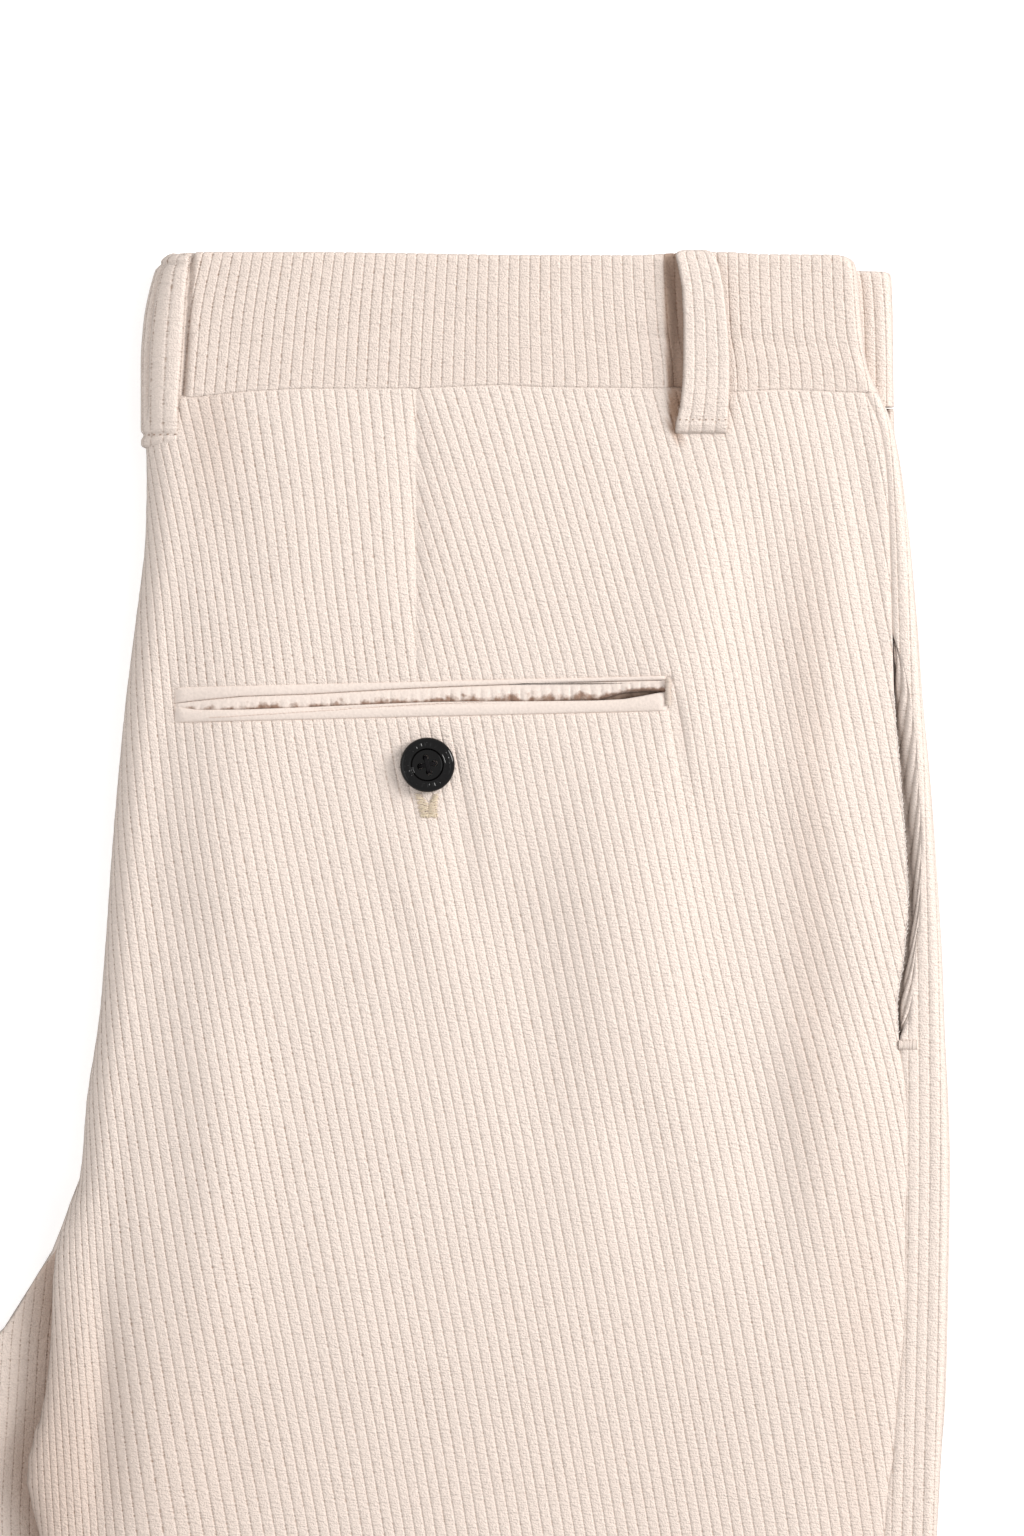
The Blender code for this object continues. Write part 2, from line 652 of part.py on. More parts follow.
def hidden_layers(material, parts, cutters):
    """The left front panel and the layers folded in with it, as one rounded solid."""
    base = PANEL_WALL + SEAM_GAP
    below_back = PANEL_WALL + HIDDEN_TOP_GAP
    rings = []
    for down in HIDDEN_ROWS:
        low, high = upper_range(down)
        leg = changed(EDGE_SINKS, down)
        inset = mix(BACK_FOLD_INSET, OUTER_INSET * inner_outline_lean(down), leg)
        first = size_at("left_in", down) + inset
        last = size_at("left_out", down) - OUTER_INSET
        reach = mix(INNER_ROUNDING, OUTER_ROUNDING, leg)
        full = edge_height(down) - below_back
        peek = mix(full, roll_bottom(down) - LAYER_CLEARANCE, changed(LAYERS_DROP, down))
        outer_top = underside(high, down, INNER_DEPTH) - LAYER_CLEARANCE
        flat = last - BASE_TO_EDGE
        ring = [(mix(flat, first + reach, share), base) for share in (0.0, 0.5, 1.0)]
        ring += [
            (first + reach * inward, mix(base, peek, rise)) for inward, rise in LAYERED_EDGE
        ]
        start = max(low, first + reach)
        ring += [(mix(first + reach, start, 0.5), peek), (start, peek)]
        end = min(size_at("seam", down), last - STEP_TO_EDGE)
        places = across_places(start + STEP_REACH, end)
        under = places[ACROSS - TUCKED_UNDER:]
        over = places[:ACROSS - TUCKED_UNDER] + [under[0] - 2.0 * STEP_REACH]
        ring += [(x, skin(x, down) - below_back) for x in over]
        under[0] -= STEP_REACH
        under += [mix(under[-1], last - OUTER_ROUNDING, share) for share in (0.5, 1.0)]
        ring += [(x, underside(x, down, INNER_DEPTH) - LAYER_CLEARANCE) for x in under]
        ring += [
            (last - OUTER_ROUNDING * inward, mix(base, outer_top, rise))
            for inward, rise in reversed(LAYERED_EDGE)
        ]
        rings.append(
            [point(x, down + left_drop(x, down), height) for x, height in ring]
        )
    solid = closed_loft("hidden_layers", rings, material, parts)
    for name, down, height, depth, thickness in HEM_CUTS:
        size = (HEM_CUT_WIDTH, depth, thickness)
        cut(solid, box_cutter(name, size, point(HEM_CUT_X, down, height), cutters))
    return solid


def right_waistband(material, parts):
    """The upper half of the band: over the top, round the side fold and back underneath."""
    rows = []
    ridges = []
    for share in BAND_ROWS:
        down = mix(BAND_TOP, BAND_BOTTOM, share)
        low, high = upper_range(down)
        first, last = math.radians(180.0), math.radians(90.0)
        arc = back_fold_arc(down, first, last, BACK_FOLD_STEPS, True)
        columns = 2 * BAND_WALES
        top = [mix(low, high, column / columns) for column in range(columns + 1)]
        spots = arc[:-1] + [(x, skin(x, down)) for x in top]
        spots += side_fold_arc(down, high)
        spots += [
            (x, underside(x, down, BAND_INNER_DEPTH))
            for x in reversed(across_places(low, high))
        ]
        rows.append([point(x, down, height) for x, height in spots])
        lifts = [WALE_HEIGHT if column % 2 else 0.0 for column in range(columns + 1)]
        ridges += [0.0] * (len(arc) - 1) + lifts
        ridges += [0.0] * (len(spots) - len(arc) + 1 - len(lifts))
    return cloth_wall("right_waistband", rows, BAND_WALL, material, parts, ridges)


def left_waistband(material, parts):
    """The lower half of the band: flat on the surface, round its own side fold and back over."""
    rows = []
    for share in BAND_ROWS:
        down = mix(BAND_TOP, BAND_BOTTOM, share)
        low = upper_range(down)[0]
        first, last = math.radians(180.0), math.radians(270.0)
        spots = back_fold_arc(down, first, last, LEFT_EDGE_STEPS, False)
        high = size_at("left_out", down) - SIDE_FOLD_REACH
        near_high = upper_range(down)[1]
        top = underside(near_high, down, BAND_INNER_DEPTH) - LAYER_CLEARANCE
        spots += [(mix(spots[-1][0], high, index / 4.0), 0.0) for index in range(1, 5)]
        for index in range(1, SIDE_FOLD_STEPS):
            angle = math.pi * (index / SIDE_FOLD_STEPS - 0.5)
            spots.append(
                (high + SIDE_FOLD_REACH * math.cos(angle), 0.5 * top * (1.0 + math.sin(angle)))
            )
        spots += [(high, top), (mix(high, near_high, 0.5), top)]
        spots += [
            (x, underside(x, down, BAND_INNER_DEPTH) - LAYER_CLEARANCE)
            for x in reversed(across_places(low, near_high))
        ]
        rows.append(
            [point(x, down + left_drop(x, down), height) for x, height in reversed(spots)]
        )
    return cloth_wall("left_waistband", rows, BAND_WALL, material, parts)


def loop_lift(down, bottom):
    """How far a loop stands off what it crosses: pressed down at both ends."""
    from_top = ease((down - LOOP_TOP_REST) / LOOP_END)
    return LOOP_REST + LOOP_ARCH * from_top * ease((bottom - LOOP_END - down) / LOOP_END)


def wale_ridges(rows, columns):
    """How far each outer point of a loop is raised: every second column is a wale's crest."""
    return [
        WALE_HEIGHT if column % 2 else 0.0 for _ in range(rows) for column in range(columns + 1)
    ]


def side_back_loop(material, parts):
    """The loop over the right back, from above the band's edge to below its seam."""
    rows = []
    for section in SIDE_LOOP:
        lift = loop_lift(section.down, SIDE_LOOP[-1].down) + LOOP_WALL
        row = []
        for column in range(LOOP_COLUMNS + 1):
            x = mix(section.left, section.right, column / LOOP_COLUMNS)
            base = skin(x, max(section.down, BAND_TOP))
            row.append(point(x, section.down, base + lift))
        rows.append(row)
    ridges = wale_ridges(len(rows), LOOP_COLUMNS)
    return cloth_wall("side_back_loop", rows, LOOP_WALL, material, parts, ridges)


def centre_back_loop(material, parts):
    """The loop over the centre back, round the fold and onto the upper side."""
    rows = []
    for down in BACK_LOOP_ROWS:
        lift = loop_lift(down, BACK_LOOP_ROWS[-1]) + LOOP_WALL
        inner = size_at("right_in", down) - lift
        reach = BACK_FOLD_REACH + lift
        top = edge_height(down) + lift - BACK_FOLD_HEIGHT
        turn = clamp((BACK_LOOP_END_X - inner) / reach - 1.0, -1.0, 1.0)
        end = math.acos(turn)
        row = []
        for column in range(LOOP_COLUMNS + 1):
            angle = mix(BACK_LOOP_START, end, column / LOOP_COLUMNS)
            rise = top * math.sin(angle)
            if angle < math.radians(90.0):
                rise = top
            x = inner + reach * (1.0 + math.cos(angle))
            row.append(point(x, down, BACK_FOLD_HEIGHT + rise))
        rows.append(row)
    ridges = wale_ridges(len(rows), LOOP_COLUMNS)
    return cloth_wall("centre_back_loop", rows, LOOP_WALL, material, parts, ridges)


def pocket_point(along, above, rise):
    """A point of the back pocket: along its line, above it on the cloth, and off the cloth."""
    cosine, sine = math.cos(POCKET_TILT), math.sin(POCKET_TILT)
    x = POCKET_X + along * cosine - above * sine
    down = POCKET_DOWN - along * sine - above * cosine
    return point(x, down, skin(x, down) + rise)


def slit_gap(along):
    """How far the facing's edge draws back where the slit gapes near its outer end."""
    opening = ease((along - SLIT_OPENS_FROM) / SLIT_OPENING)
    closing = ease((SLIT_CLOSES_AT - along) / SLIT_CLOSING)
    return SLIT_OPENS_BY * opening * closing


def pocket_strips(material, parts):
    """The two welts and the facing, made from the panel's points inside its window."""
    half = 0.5 * POCKET_LENGTH - SEAM_GAP
    for strip in POCKET_STRIPS:
        rows = []
        for share in STRIP_SHARES:
            rise = strip.edge_rise if share in (0.0, 1.0) else strip.middle_rise
            row = []
            for column in range(STRIP_COLUMNS + 1):
                along = mix(-half, half, column / STRIP_COLUMNS)
                lower = strip.lower
                if strip.name == "back_pocket_facing":
                    lower = min(lower + slit_gap(along), strip.upper - FACING_LEFT)
                row.append(pocket_point(along, mix(lower, strip.upper, share), rise))
            rows.append(row)
        cloth_wall(strip.name, rows, TRIM_WALL, material, parts)


def side_pocket_facing(material, parts):
    """The bias strip in the side pocket's mouth, deep at the back edge, rising to the front."""
    rows = []
    for down in FACING_ROWS:
        seam = size_at("seam", down)
        front = max(size_at("mouth", down) - FACING_CLEARANCE, seam + FACING_CLEARANCE)
        width = front - seam - FACING_CLEARANCE
        rise = FACING_RISE * clamp(width / FACING_RISES_AT)
        row = []
        for share in FACING_COLUMNS:
            x = seam + FACING_TUCK * share if share < 0.0 else mix(seam, front, share)
            height = skin(x, down) - FACING_DEPTH + rise * clamp(share)
            row.append(point(x, down, height))
        rows.append(row)
    return cloth_wall("side_pocket_facing", rows, TRIM_WALL, material, parts)


def button_seat():
    """Height of the cloth that the button's underside rests on."""
    rim = BUTTON_SEAT * BUTTON_RADIUS
    seat = skin(BUTTON_X, BUTTON_DOWN)
    for eighth in range(8):
        angle = 0.25 * math.pi * eighth
        edge = skin(BUTTON_X + rim * math.cos(angle), BUTTON_DOWN + rim * math.sin(angle))
        seat = max(seat, edge)
    return seat


def back_pocket_button(material, parts, cutters):
    """A round button with a raised rim, a shallow dish and four holes."""
    outline = [
        (spot.reach * BUTTON_RADIUS * MM, 0.0, spot.rise * BUTTON_HEIGHT * MM)
        for spot in BUTTON_OUTLINE
    ]
    mesh = bpy.data.meshes.new("back_pocket_button")
    mesh.from_pydata(outline, [(step, step + 1) for step in range(len(outline) - 1)], [])
    button = new_object("back_pocket_button", mesh, material, parts)
    button.location = point(BUTTON_X, BUTTON_DOWN, button_seat() + SEAM_GAP)
    screw = button.modifiers.new("turn", "SCREW")
    screw.axis = "Z"
    screw.steps = BUTTON_SIDES
    screw.render_steps = BUTTON_SIDES
    screw.use_merge_vertices = True
    screw.merge_threshold = 0.00001
    apply_modifiers(button)
    for number in range(BUTTON_HOLES):
        angle = BUTTON_TURN + 2.0 * math.pi * number / BUTTON_HOLES
        spot = Vector((math.cos(angle), math.sin(angle), 0.0)) * BUTTON_HOLE_SPACING * MM
        work = bmesh.new()
        bmesh.ops.create_cone(
            work,
            cap_ends=True,
            segments=HOLE_SIDES,
            radius1=BUTTON_HOLE_RADIUS * MM,
            radius2=BUTTON_HOLE_RADIUS * MM,
            depth=4.0 * BUTTON_HEIGHT * MM,
        )
        cut(button, new_cutter(f"button_hole_{number}", work, button.location + spot, cutters))
    return button


def main():
    """Build every piece."""
    parts, cutters = fresh_scene()
    cloth = make_material("cream_corduroy", CREAM, 0.9)
    glossy = make_material("black_plastic", BLACK, 0.18)
    right_back_panel(cloth, parts, cutters)
    right_front_panel(cloth, parts)
    left_back_panel(cloth, parts)
    hidden_layers(cloth, parts, cutters)
    right_waistband(cloth, parts)
    left_waistband(cloth, parts)
    side_back_loop(cloth, parts)
    centre_back_loop(cloth, parts)
    pocket_strips(cloth, parts)
    side_pocket_facing(cloth, parts)
    back_pocket_button(glossy, parts, cutters)
    for thing in parts.objects:
        thing.data.shade_smooth()
        thing.data.set_sharp_from_angle(angle=SHARP_ANGLE)


main()
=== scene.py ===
import math
import bpy
import numpy as np
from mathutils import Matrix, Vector


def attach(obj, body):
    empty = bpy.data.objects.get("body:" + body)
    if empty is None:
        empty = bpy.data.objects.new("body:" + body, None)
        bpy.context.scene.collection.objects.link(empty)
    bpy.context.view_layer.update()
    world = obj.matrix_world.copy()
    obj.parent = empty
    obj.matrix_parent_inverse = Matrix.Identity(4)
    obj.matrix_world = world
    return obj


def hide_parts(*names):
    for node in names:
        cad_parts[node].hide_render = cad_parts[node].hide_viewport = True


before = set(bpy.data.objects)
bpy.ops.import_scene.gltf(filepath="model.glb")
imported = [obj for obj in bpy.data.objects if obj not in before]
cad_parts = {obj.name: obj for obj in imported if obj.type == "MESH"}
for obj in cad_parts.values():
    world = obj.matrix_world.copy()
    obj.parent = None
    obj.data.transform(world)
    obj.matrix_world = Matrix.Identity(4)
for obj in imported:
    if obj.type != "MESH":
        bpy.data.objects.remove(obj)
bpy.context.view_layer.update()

print("loaded", len(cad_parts), "pieces of the trousers")

# Lengths are in mm; "down" is measured from the top of the waistband, x from the middle.
mm = 0.001
quarterTurn = 0.5 * math.pi
cloth = {
    "pitch": 3.0,          # from groove to groove
    "rib": 0.21,           # how high a wale stands
    "sink": 0.35,          # the share of that height that its grooves lie below the sheet
    "roundness": 0.25,     # lower is flatter on top with a narrower groove
    # where the columns of the cloth stand across a wale, closest beside its grooves
    "columns": {
        3: (0.0, 0.2, 0.8),
        4: (0.0, 0.12, 0.5, 0.88),
        5: (0.0, 0.09, 0.3, 0.7, 0.91),
        6: (0.0, 0.08, 0.2, 0.5, 0.8, 0.92),
    },
    "panelWall": 2.0,
    "bandWall": 2.6,
    "loopWall": 2.0,
    "trimWall": 1.2,
    "paintedShade": 0.07,       # painted shade over the panels, and from where down it grows in
    "paintedShadeFrom": (250.0, 110.0),
    # patches of painted shade: x, down, across, along, how much
    "shadePatches": ((-61.0, 50.0, 8.0, 24.0, 0.2), (110.0, 130.0, 7.0, 50.0, 0.14),
                (110.0, 220.0, 7.0, 50.0, 0.12), (124.0, 310.0, 9.0, 70.0, 0.12),
                (-108.0, 355.0, 18.0, 55.0, 0.3), (-70.0, 350.0, 26.0, 60.0, 0.08)),
}
# A pair such as crotch says where something starts, and over how many mm it becomes full.
garment = {
    "length": 1060.0,
    "bandTop": 0.2,
    "bandBottom": 39.4,
    "panelTop": 39.2,
    "leftHem": 1060.0,
    "backFoldReach": 9.0,
    "backFoldHeight": 7.0,
    "backFoldGap": 0.5,
    "sideFoldReach": 3.0,
    "crownBlend": 38.0,
    "foldFade": 9.0,
    "foldEnds": 0.3,
    "innerDepth": 4.7,
    "bandDepth": 5.9,
    "sideBlend": (15.0, 30.0),     # the underside's own depth beside its two folds
    "backBlend": (0.0, 26.0),
    "clearance": 0.5,
    "leftEdgeReach": 5.0,
    "sideLip": 3.4,
    "crotchLip": 3.0,
    "outerInset": 2.8,
    "leftDrop": 5.1,
    "dropFades": (45.0, 105.0),
    "crotch": (266.0, 30.0),       # where the back fold becomes the near leg's rolled edge
    "crotchTuck": (266.0, 34.0),
    "lipFades": (262.0, 20.0),
    "reachFades": (264.0, 40.0),
    "peekFrom": (256.0, 16.0),
}

# Sizes down the garment, one row for each level.
columnNames = ("down rightIn rightOut leftIn leftOut seam mouth "
               "crown backSide outerSide outerDepth backDepth").split()
sections = np.array([
    (0, -72.0, 121.0, -72.0, 134.2, 118.0, 118.3, 14.0, 13.4, 13.4, 6.6, 5.9),
    (3, -74.8, 123.4, -74.8, 134.4, 120.0, 120.3, 14.0, 13.4, 13.4, 6.6, 5.9),
    (9, -77.0, 124.3, -77.0, 134.7, 121.0, 121.3, 14.1, 13.4, 13.4, 6.6, 5.9),
    (20, -79.2, 125.2, -79.2, 134.9, 122.0, 122.3, 14.2, 13.4, 13.4, 6.6, 5.9),
    (32, -80.0, 126.8, -80.0, 135.0, 124.0, 124.3, 14.1, 13.4, 13.4, 6.6, 5.9),
    (40, -80.0, 130.5, -80.0, 135.1, 126.6, 126.9, 14.2, 13.3, 13.1, 6.5, 4.7),
    (50, -80.0, 134.3, -80.0, 135.4, 130.4, 130.7, 14.9, 13.3, 13.1, 6.5, 4.7),
    (64, -79.7, 136.8, -79.7, 135.6, 132.4, 132.7, 15.6, 13.5, 13.2, 6.6, 4.7),
    (80, -80.0, 138.8, -80.0, 136.3, 133.1, 133.4, 16.3, 13.8, 13.5, 6.9, 4.7),
    (107, -83.0, 141.2, -83.0, 138.0, 133.8, 134.2, 17.2, 14.2, 14.0, 7.4, 4.7),
    (128, -85.6, 142.7, -85.6, 139.3, 134.3, 139.0, 17.8, 14.5, 14.3, 7.7, 4.7),
    (147, -87.5, 144.5, -87.5, 140.6, 135.8, 140.9, 18.2, 14.7, 14.4, 7.8, 4.7),
    (172, -89.7, 146.4, -89.7, 142.0, 137.7, 142.0, 18.4, 14.9, 14.4, 7.8, 4.7),
    (187, -90.7, 147.4, -90.7, 142.7, 138.3, 141.6, 18.4, 15.0, 14.4, 7.8, 4.7),
    (202, -91.8, 148.3, -91.8, 143.4, 137.1, 140.2, 18.3, 15.0, 14.3, 7.7, 4.7),
    (216, -92.9, 148.8, -92.9, 144.0, 135.2, 139.2, 18.2, 14.9, 14.2, 7.6, 4.7),
    (226, -94.2, 149.2, -94.2, 144.2, 135.7, 136.1, 18.1, 14.9, 14.1, 7.5, 4.7),
    (243, -96.9, 150.0, -96.9, 144.6, 138.0, 138.3, 17.9, 14.8, 13.9, 7.2, 4.7),
    (264, -98.6, 150.6, -98.6, 144.9, 138.3, 138.6, 17.6, 14.5, 13.7, 7.0, 5.2),
    (277, -103.3, 150.4, -103.3, 144.9, 137.5, 137.8, 17.4, 14.0, 13.6, 6.9, 6.6),
    (284, -105.1, 150.3, -105.7, 144.8, 137.6, 137.9, 17.3, 13.7, 13.5, 6.9, 7.4),
    (292, -106.3, 150.1, -110.8, 144.6, 137.7, 138.0, 17.2, 13.5, 13.5, 6.8, 7.7),
    (309, -106.9, 149.8, -121.1, 144.2, 137.2, 137.5, 17.0, 13.4, 13.4, 6.8, 7.8),
    (327, -108.6, 149.3, -139.5, 143.6, 135.4, 135.7, 16.7, 13.4, 13.3, 6.7, 7.8),
    (345, -113.4, 148.1, -150.2, 142.8, 134.2, 134.5, 16.4, 13.3, 13.2, 6.6, 7.7),
    (352, -114.0, 147.7, -150.6, 142.5, 132.9, 133.2, 16.3, 13.3, 13.2, 6.6, 7.7),
    (367, -110.5, 146.9, -147.5, 141.8, 131.7, 132.0, 16.1, 13.3, 13.1, 6.5, 7.7),
    (400, -107.5, 145.3, -139.0, 140.2, 129.8, 130.1, 15.7, 13.2, 13.0, 6.4, 7.6),
    (450, -104.0, 143.0, -128.0, 138.0, 127.3, 127.6, 15.3, 13.0, 12.8, 6.2, 7.4),
    (520, -98.5, 140.0, -117.0, 135.4, 123.8, 124.1, 15.0, 12.8, 12.6, 6.0, 7.2),
    (620, -93.0, 136.2, -107.5, 132.0, 119.7, 120.0, 14.6, 12.5, 12.4, 5.8, 6.9),
    (800, -87.5, 131.0, -98.5, 127.3, 114.8, 115.1, 14.0, 12.2, 12.2, 5.6, 6.6),
    (1060, -84.0, 126.5, -94.5, 123.0, 110.3, 110.6, 13.0, 12.0, 12.0, 5.4, 6.4),
])

wander = {
    "seamAcross": (-80, -66, -58, -50, -35, -2, 10, 22, 32, 69, 78, 87, 96, 104, 122),
    "seam": (2.8, 2.5, 1.6, 0.8, 0.1, 0.0, -0.5, -1.0, -0.4, 0.0, 0.6, 1.1, 0.6, 0.3, 1.1),
    "seamDown": 39.0,
    "seamReach": 13.0,
    "topAcross": (-70, -35, 0, 22, 62, 70, 76, 88, 96, 122),
    "top": (0.0, 0.0, 0.5, 0.9, 1.0, 0.5, 0.1, 0.1, 0.7, 0.8),
    "topReach": 12.0,
}

# Soft folds: from x, from down, to x, to down, sideways bow, half width, and height, which is
# negative for a trough.
bigFolds = [
    (84.0, 56, 70.0, 142, -3.0, 12.0, 1.3),
    (66.0, 130, 75.0, 262, -4.0, 11.0, 1.5),
    (108.5, 50, 106.0, 158, -4.0, 9.0, -1.6),
    (103.0, 145, 113.0, 236, 0.0, 9.0, -1.7),
    (121.0, 46, 129.0, 132, 1.5, 4.5, -0.7),
    (79.0, 133, 99.0, 318, 5.0, 8.0, -1.2),
    (-67.0, 178, -46.0, 240, 0.0, 10.0, -0.9),
    (20.0, 165, 49.0, 282, 3.0, 12.0, -1.1),
    (-8.0, 160, 3.0, 222, 0.0, 12.0, 0.8),
    (-2.3, 36, -2.3, 114, 0.0, 4.0, -0.7),
    (-101.0, 276, -89.0, 372, 3.0, 4.5, -1.5),
    (-88.0, 360, -76.0, 520, 0.0, 8.0, -1.2),
    (30.0, 330, 8.0, 560, -6.0, 16.0, 1.0),
    (-50.0, 400, 20.0, 560, 8.0, 11.0, -1.1),
    (96.0, 420, 52.0, 610, 7.0, 12.0, -1.2),
    (-66.0, 560, -8.0, 668, 5.0, 9.0, -1.0),
    (98.0, 600, 60.0, 735, -6.0, 10.0, -1.1),
    (18.0, 690, 34.0, 1000, 5.0, 18.0, 0.9),
    (-52.0, 740, -34.0, 960, -6.0, 12.0, -0.9),
    (82.0, 800, 66.0, 1010, 4.0, 11.0, -0.8),
]
smallCreases = [
    (-20.0, 168, -2.0, 214, 2.0, 4.0, -0.45),
    (9.5, 138, 9.6, 162, 0.8, 1.5, -0.55),
    (8.5, 150, 14.0, 182, 1.0, 2.4, -0.5),
    (6.0, 158, 13.0, 196, 1.0, 3.2, -0.5),
    (60.0, 60, 63.0, 112, 0.0, 5.0, -0.35),
    (-58.0, 66, -52.0, 112, 0.0, 5.0, -0.3),
    (70.0, 122, 74.0, 158, 1.0, 1.6, -0.8),
    (-74.5, 112, -76.0, 150, -1.5, 1.8, -0.7),
    (117.0, 96, 124.0, 176, 1.0, 3.5, -0.4),
    (58.0, 236, 70.0, 300, 0.0, 6.0, -0.4),
    (-30.0, 260, -16.0, 345, 2.0, 7.0, 0.35),
    (-62.0, 300, -52.0, 366, 0.0, 6.0, -0.4),
    (50.0, 132, 47.0, 300, 0.0, 9.0, 1.4),
    (79.0, 140, 83.0, 270, 0.0, 8.0, -1.0),
    (97.0, 62, 97.0, 160, 0.0, 7.0, -1.0),
    (99.0, 128, 100.0, 300, 0.0, 7.0, -0.9),
    (119.0, 52, 123.0, 170, 0.0, 5.5, 0.3),
    (122.0, 150, 124.0, 262, 0.0, 5.5, 0.6),
    (-57.0, 46, -57.0, 300, 0.0, 9.0, 0.7),
    (-92.0, 318, -86.0, 430, 0.0, 7.0, 0.9),
    (90.0, 56, 87.0, 150, 0.0, 6.0, -0.7),
    (-61.0, 96, -64.0, 380, 2.0, 8.0, 0.9),
    (-81.0, 214, -76.0, 420, 0.0, 6.0, 0.7),
    (-104.0, 276, -93.0, 376, 2.0, 3.5, -0.8),
    (-100.0, 286, -88.0, 424, 0.0, 4.0, -0.6),
]


def ease(value):
    step = np.clip(value, 0.0, 1.0)
    return step * step * (3.0 - 2.0 * step)


def past(value, start, over):
    # 0 up to the start, 1 from so many mm beyond it on
    return ease((value - start) / over)


def mix(start, end, share):
    return start + (end - start) * share


def bell(distance, width):
    return np.exp(-(distance / width) ** 2)


def dip(distance, depth, width):
    return -depth * bell(distance, width)


def spread(start, stop, step):
    # even places from start to stop, about a step apart
    return list(np.linspace(start, stop, max(2, round(abs(stop - start) / step) + 1)))


def sizeAt(column, down):
    # a smooth curve through one column of the sections that never overshoots a row
    at, value = sections[:, 0], sections[:, columnNames.index(column)]
    place = np.clip(down, at[0], at[-1])
    rate = np.diff(value) / np.diff(at)
    slope = np.zeros(len(at))
    turning = rate[1:] * rate[:-1] <= 0.0
    both = np.where(turning, 1.0, rate[1:] + rate[:-1])
    slope[1:-1] = np.where(turning, 0.0, 2.0 * rate[1:] * rate[:-1] / both)
    row = np.clip(np.searchsorted(at, place) - 1, 0, len(at) - 2)
    span = at[row + 1] - at[row]
    share = (place - at[row]) / span
    squared, cubed = share ** 2, share ** 3
    return ((2 * cubed - 3 * squared + 1) * value[row]
            + (cubed - 2 * squared + share) * span * slope[row]
            + (3 * squared - 2 * cubed) * value[row + 1]
            + (cubed - squared) * span * slope[row + 1])


def foldHeight(x, down, folds):
    total = np.zeros(np.broadcast(x, down).shape)
    for fromX, fromDown, toX, toDown, bow, halfWidth, height in folds:
        share = (down - fromDown) / (toDown - fromDown)
        middle = mix(fromX, toX, share) + bow * 4.0 * share * (1.0 - share)
        fade = ease(share / garment["foldEnds"]) * ease((1.0 - share) / garment["foldEnds"])
        total = total + height * fade * np.exp(-0.5 * ((x - middle) / halfWidth) ** 2)
    return total


def upperRange(down):
    low = sizeAt("rightIn", down) + garment["backFoldReach"]
    return low, sizeAt("rightOut", down) - garment["sideFoldReach"]


def skin(x, down, small=True):
    # height of the right half's upper side
    low, high = upperRange(down)
    place = np.clip(x, low, high)
    crown = sizeAt("crown", down)
    fromBack = 1.0 - ease((place - low) / garment["crownBlend"])
    fromSide = 1.0 - ease((high - place) / garment["crownBlend"])
    height = crown - (crown - sizeAt("backSide", down)) * fromBack
    height = height - (crown - sizeAt("outerSide", down)) * fromSide
    fade = ease((place - low) / garment["foldFade"]) * ease((high - place) / garment["foldFade"])
    for folds in (bigFolds, smallCreases) if small else (bigFolds,):
        height = height + foldHeight(place, down, folds) * fade
    return height


def underside(x, down, depth):
    # height of the right half's underside
    low, high = upperRange(down)
    place = np.clip(x, low, high)
    fromSide = 1.0 - past(high - place, *garment["sideBlend"])
    fromBack = 1.0 - past(place - low, *garment["backBlend"])
    total = depth + (sizeAt("outerDepth", down) - depth) * fromSide
    total = total + (sizeAt("backDepth", down) - depth) * fromBack
    return skin(x, down, False) - total


def edgeHeight(down):
    return skin(upperRange(down)[0], down, False)


def rollBottom(down):
    return edgeHeight(down) - sizeAt("backDepth", down)


def seamHeight(down):
    roll = mix(rollBottom(down), edgeHeight(down), 0.5)
    seat = garment["backFoldHeight"] + 0.5 * garment["backFoldGap"]
    return mix(seat, roll, past(down, *garment["crotch"]))


def leftLip(down):
    seat = garment["backFoldHeight"] - 0.5 * garment["backFoldGap"]
    return mix(seat, garment["crotchLip"], past(down, *garment["lipFades"]))


def leftReach(down):
    share = past(down, *garment["reachFades"])
    return mix(garment["backFoldReach"], garment["leftEdgeReach"], share)


def leftDrop(x, down):
    low, high = sizeAt("leftIn", down), sizeAt("leftOut", down)
    share = np.clip((x - low) / (high - low), 0.0, 1.0)
    return garment["leftDrop"] * share * (1.0 - past(down, *garment["dropFades"]))


def roundEllipse(along, across, rise, fall):
    # the angle from the top of an ellipse after going along it; rise and fall are its half heights
    angles = np.linspace(0.0, math.pi, 49)
    shape = np.broadcast(along, across, rise, fall).shape
    along, across, rise, fall = [
        np.broadcast_to(value, shape).reshape(-1, 1) for value in (along, across, rise, fall)]
    middle = 0.5 * (angles[1:] + angles[:-1])
    half = np.where(middle < quarterTurn, rise, fall)
    steps = np.hypot(across * np.cos(middle), half * np.sin(middle)) * angles[1]
    length = np.concatenate([np.zeros((len(steps), 1)), np.cumsum(steps, axis=1)], axis=1)
    step = np.clip((length < along).sum(axis=1), 1, len(angles) - 1)
    row = np.arange(len(length))
    before, after = length[row, step - 1], length[row, step]
    share = np.clip((along[:, 0] - before) / (after - before), 0.0, 1.0)
    return mix(angles[step - 1], angles[step], share).reshape(shape)


def ellipseLength(across, rise, fall, last):
    # length of an ellipse from its top to an angle
    angles = np.linspace(0.0, 1.0, 97)[:, None] * np.ravel(last)
    middle = 0.5 * (angles[1:] + angles[:-1])
    half = np.where(middle < quarterTurn, np.ravel(rise), np.ravel(fall))
    steps = np.hypot(across * np.cos(middle), half * np.sin(middle)) * np.diff(angles, axis=0)
    return steps.sum(axis=0).reshape(np.shape(last))


def turnLength(reach, half, last=math.pi):
    return ellipseLength(reach, half, half, np.full(np.shape(half), last))


def point(x, down, height):
    return np.stack(np.broadcast_arrays(x, 0.5 * garment["length"] - down, height), axis=-1)


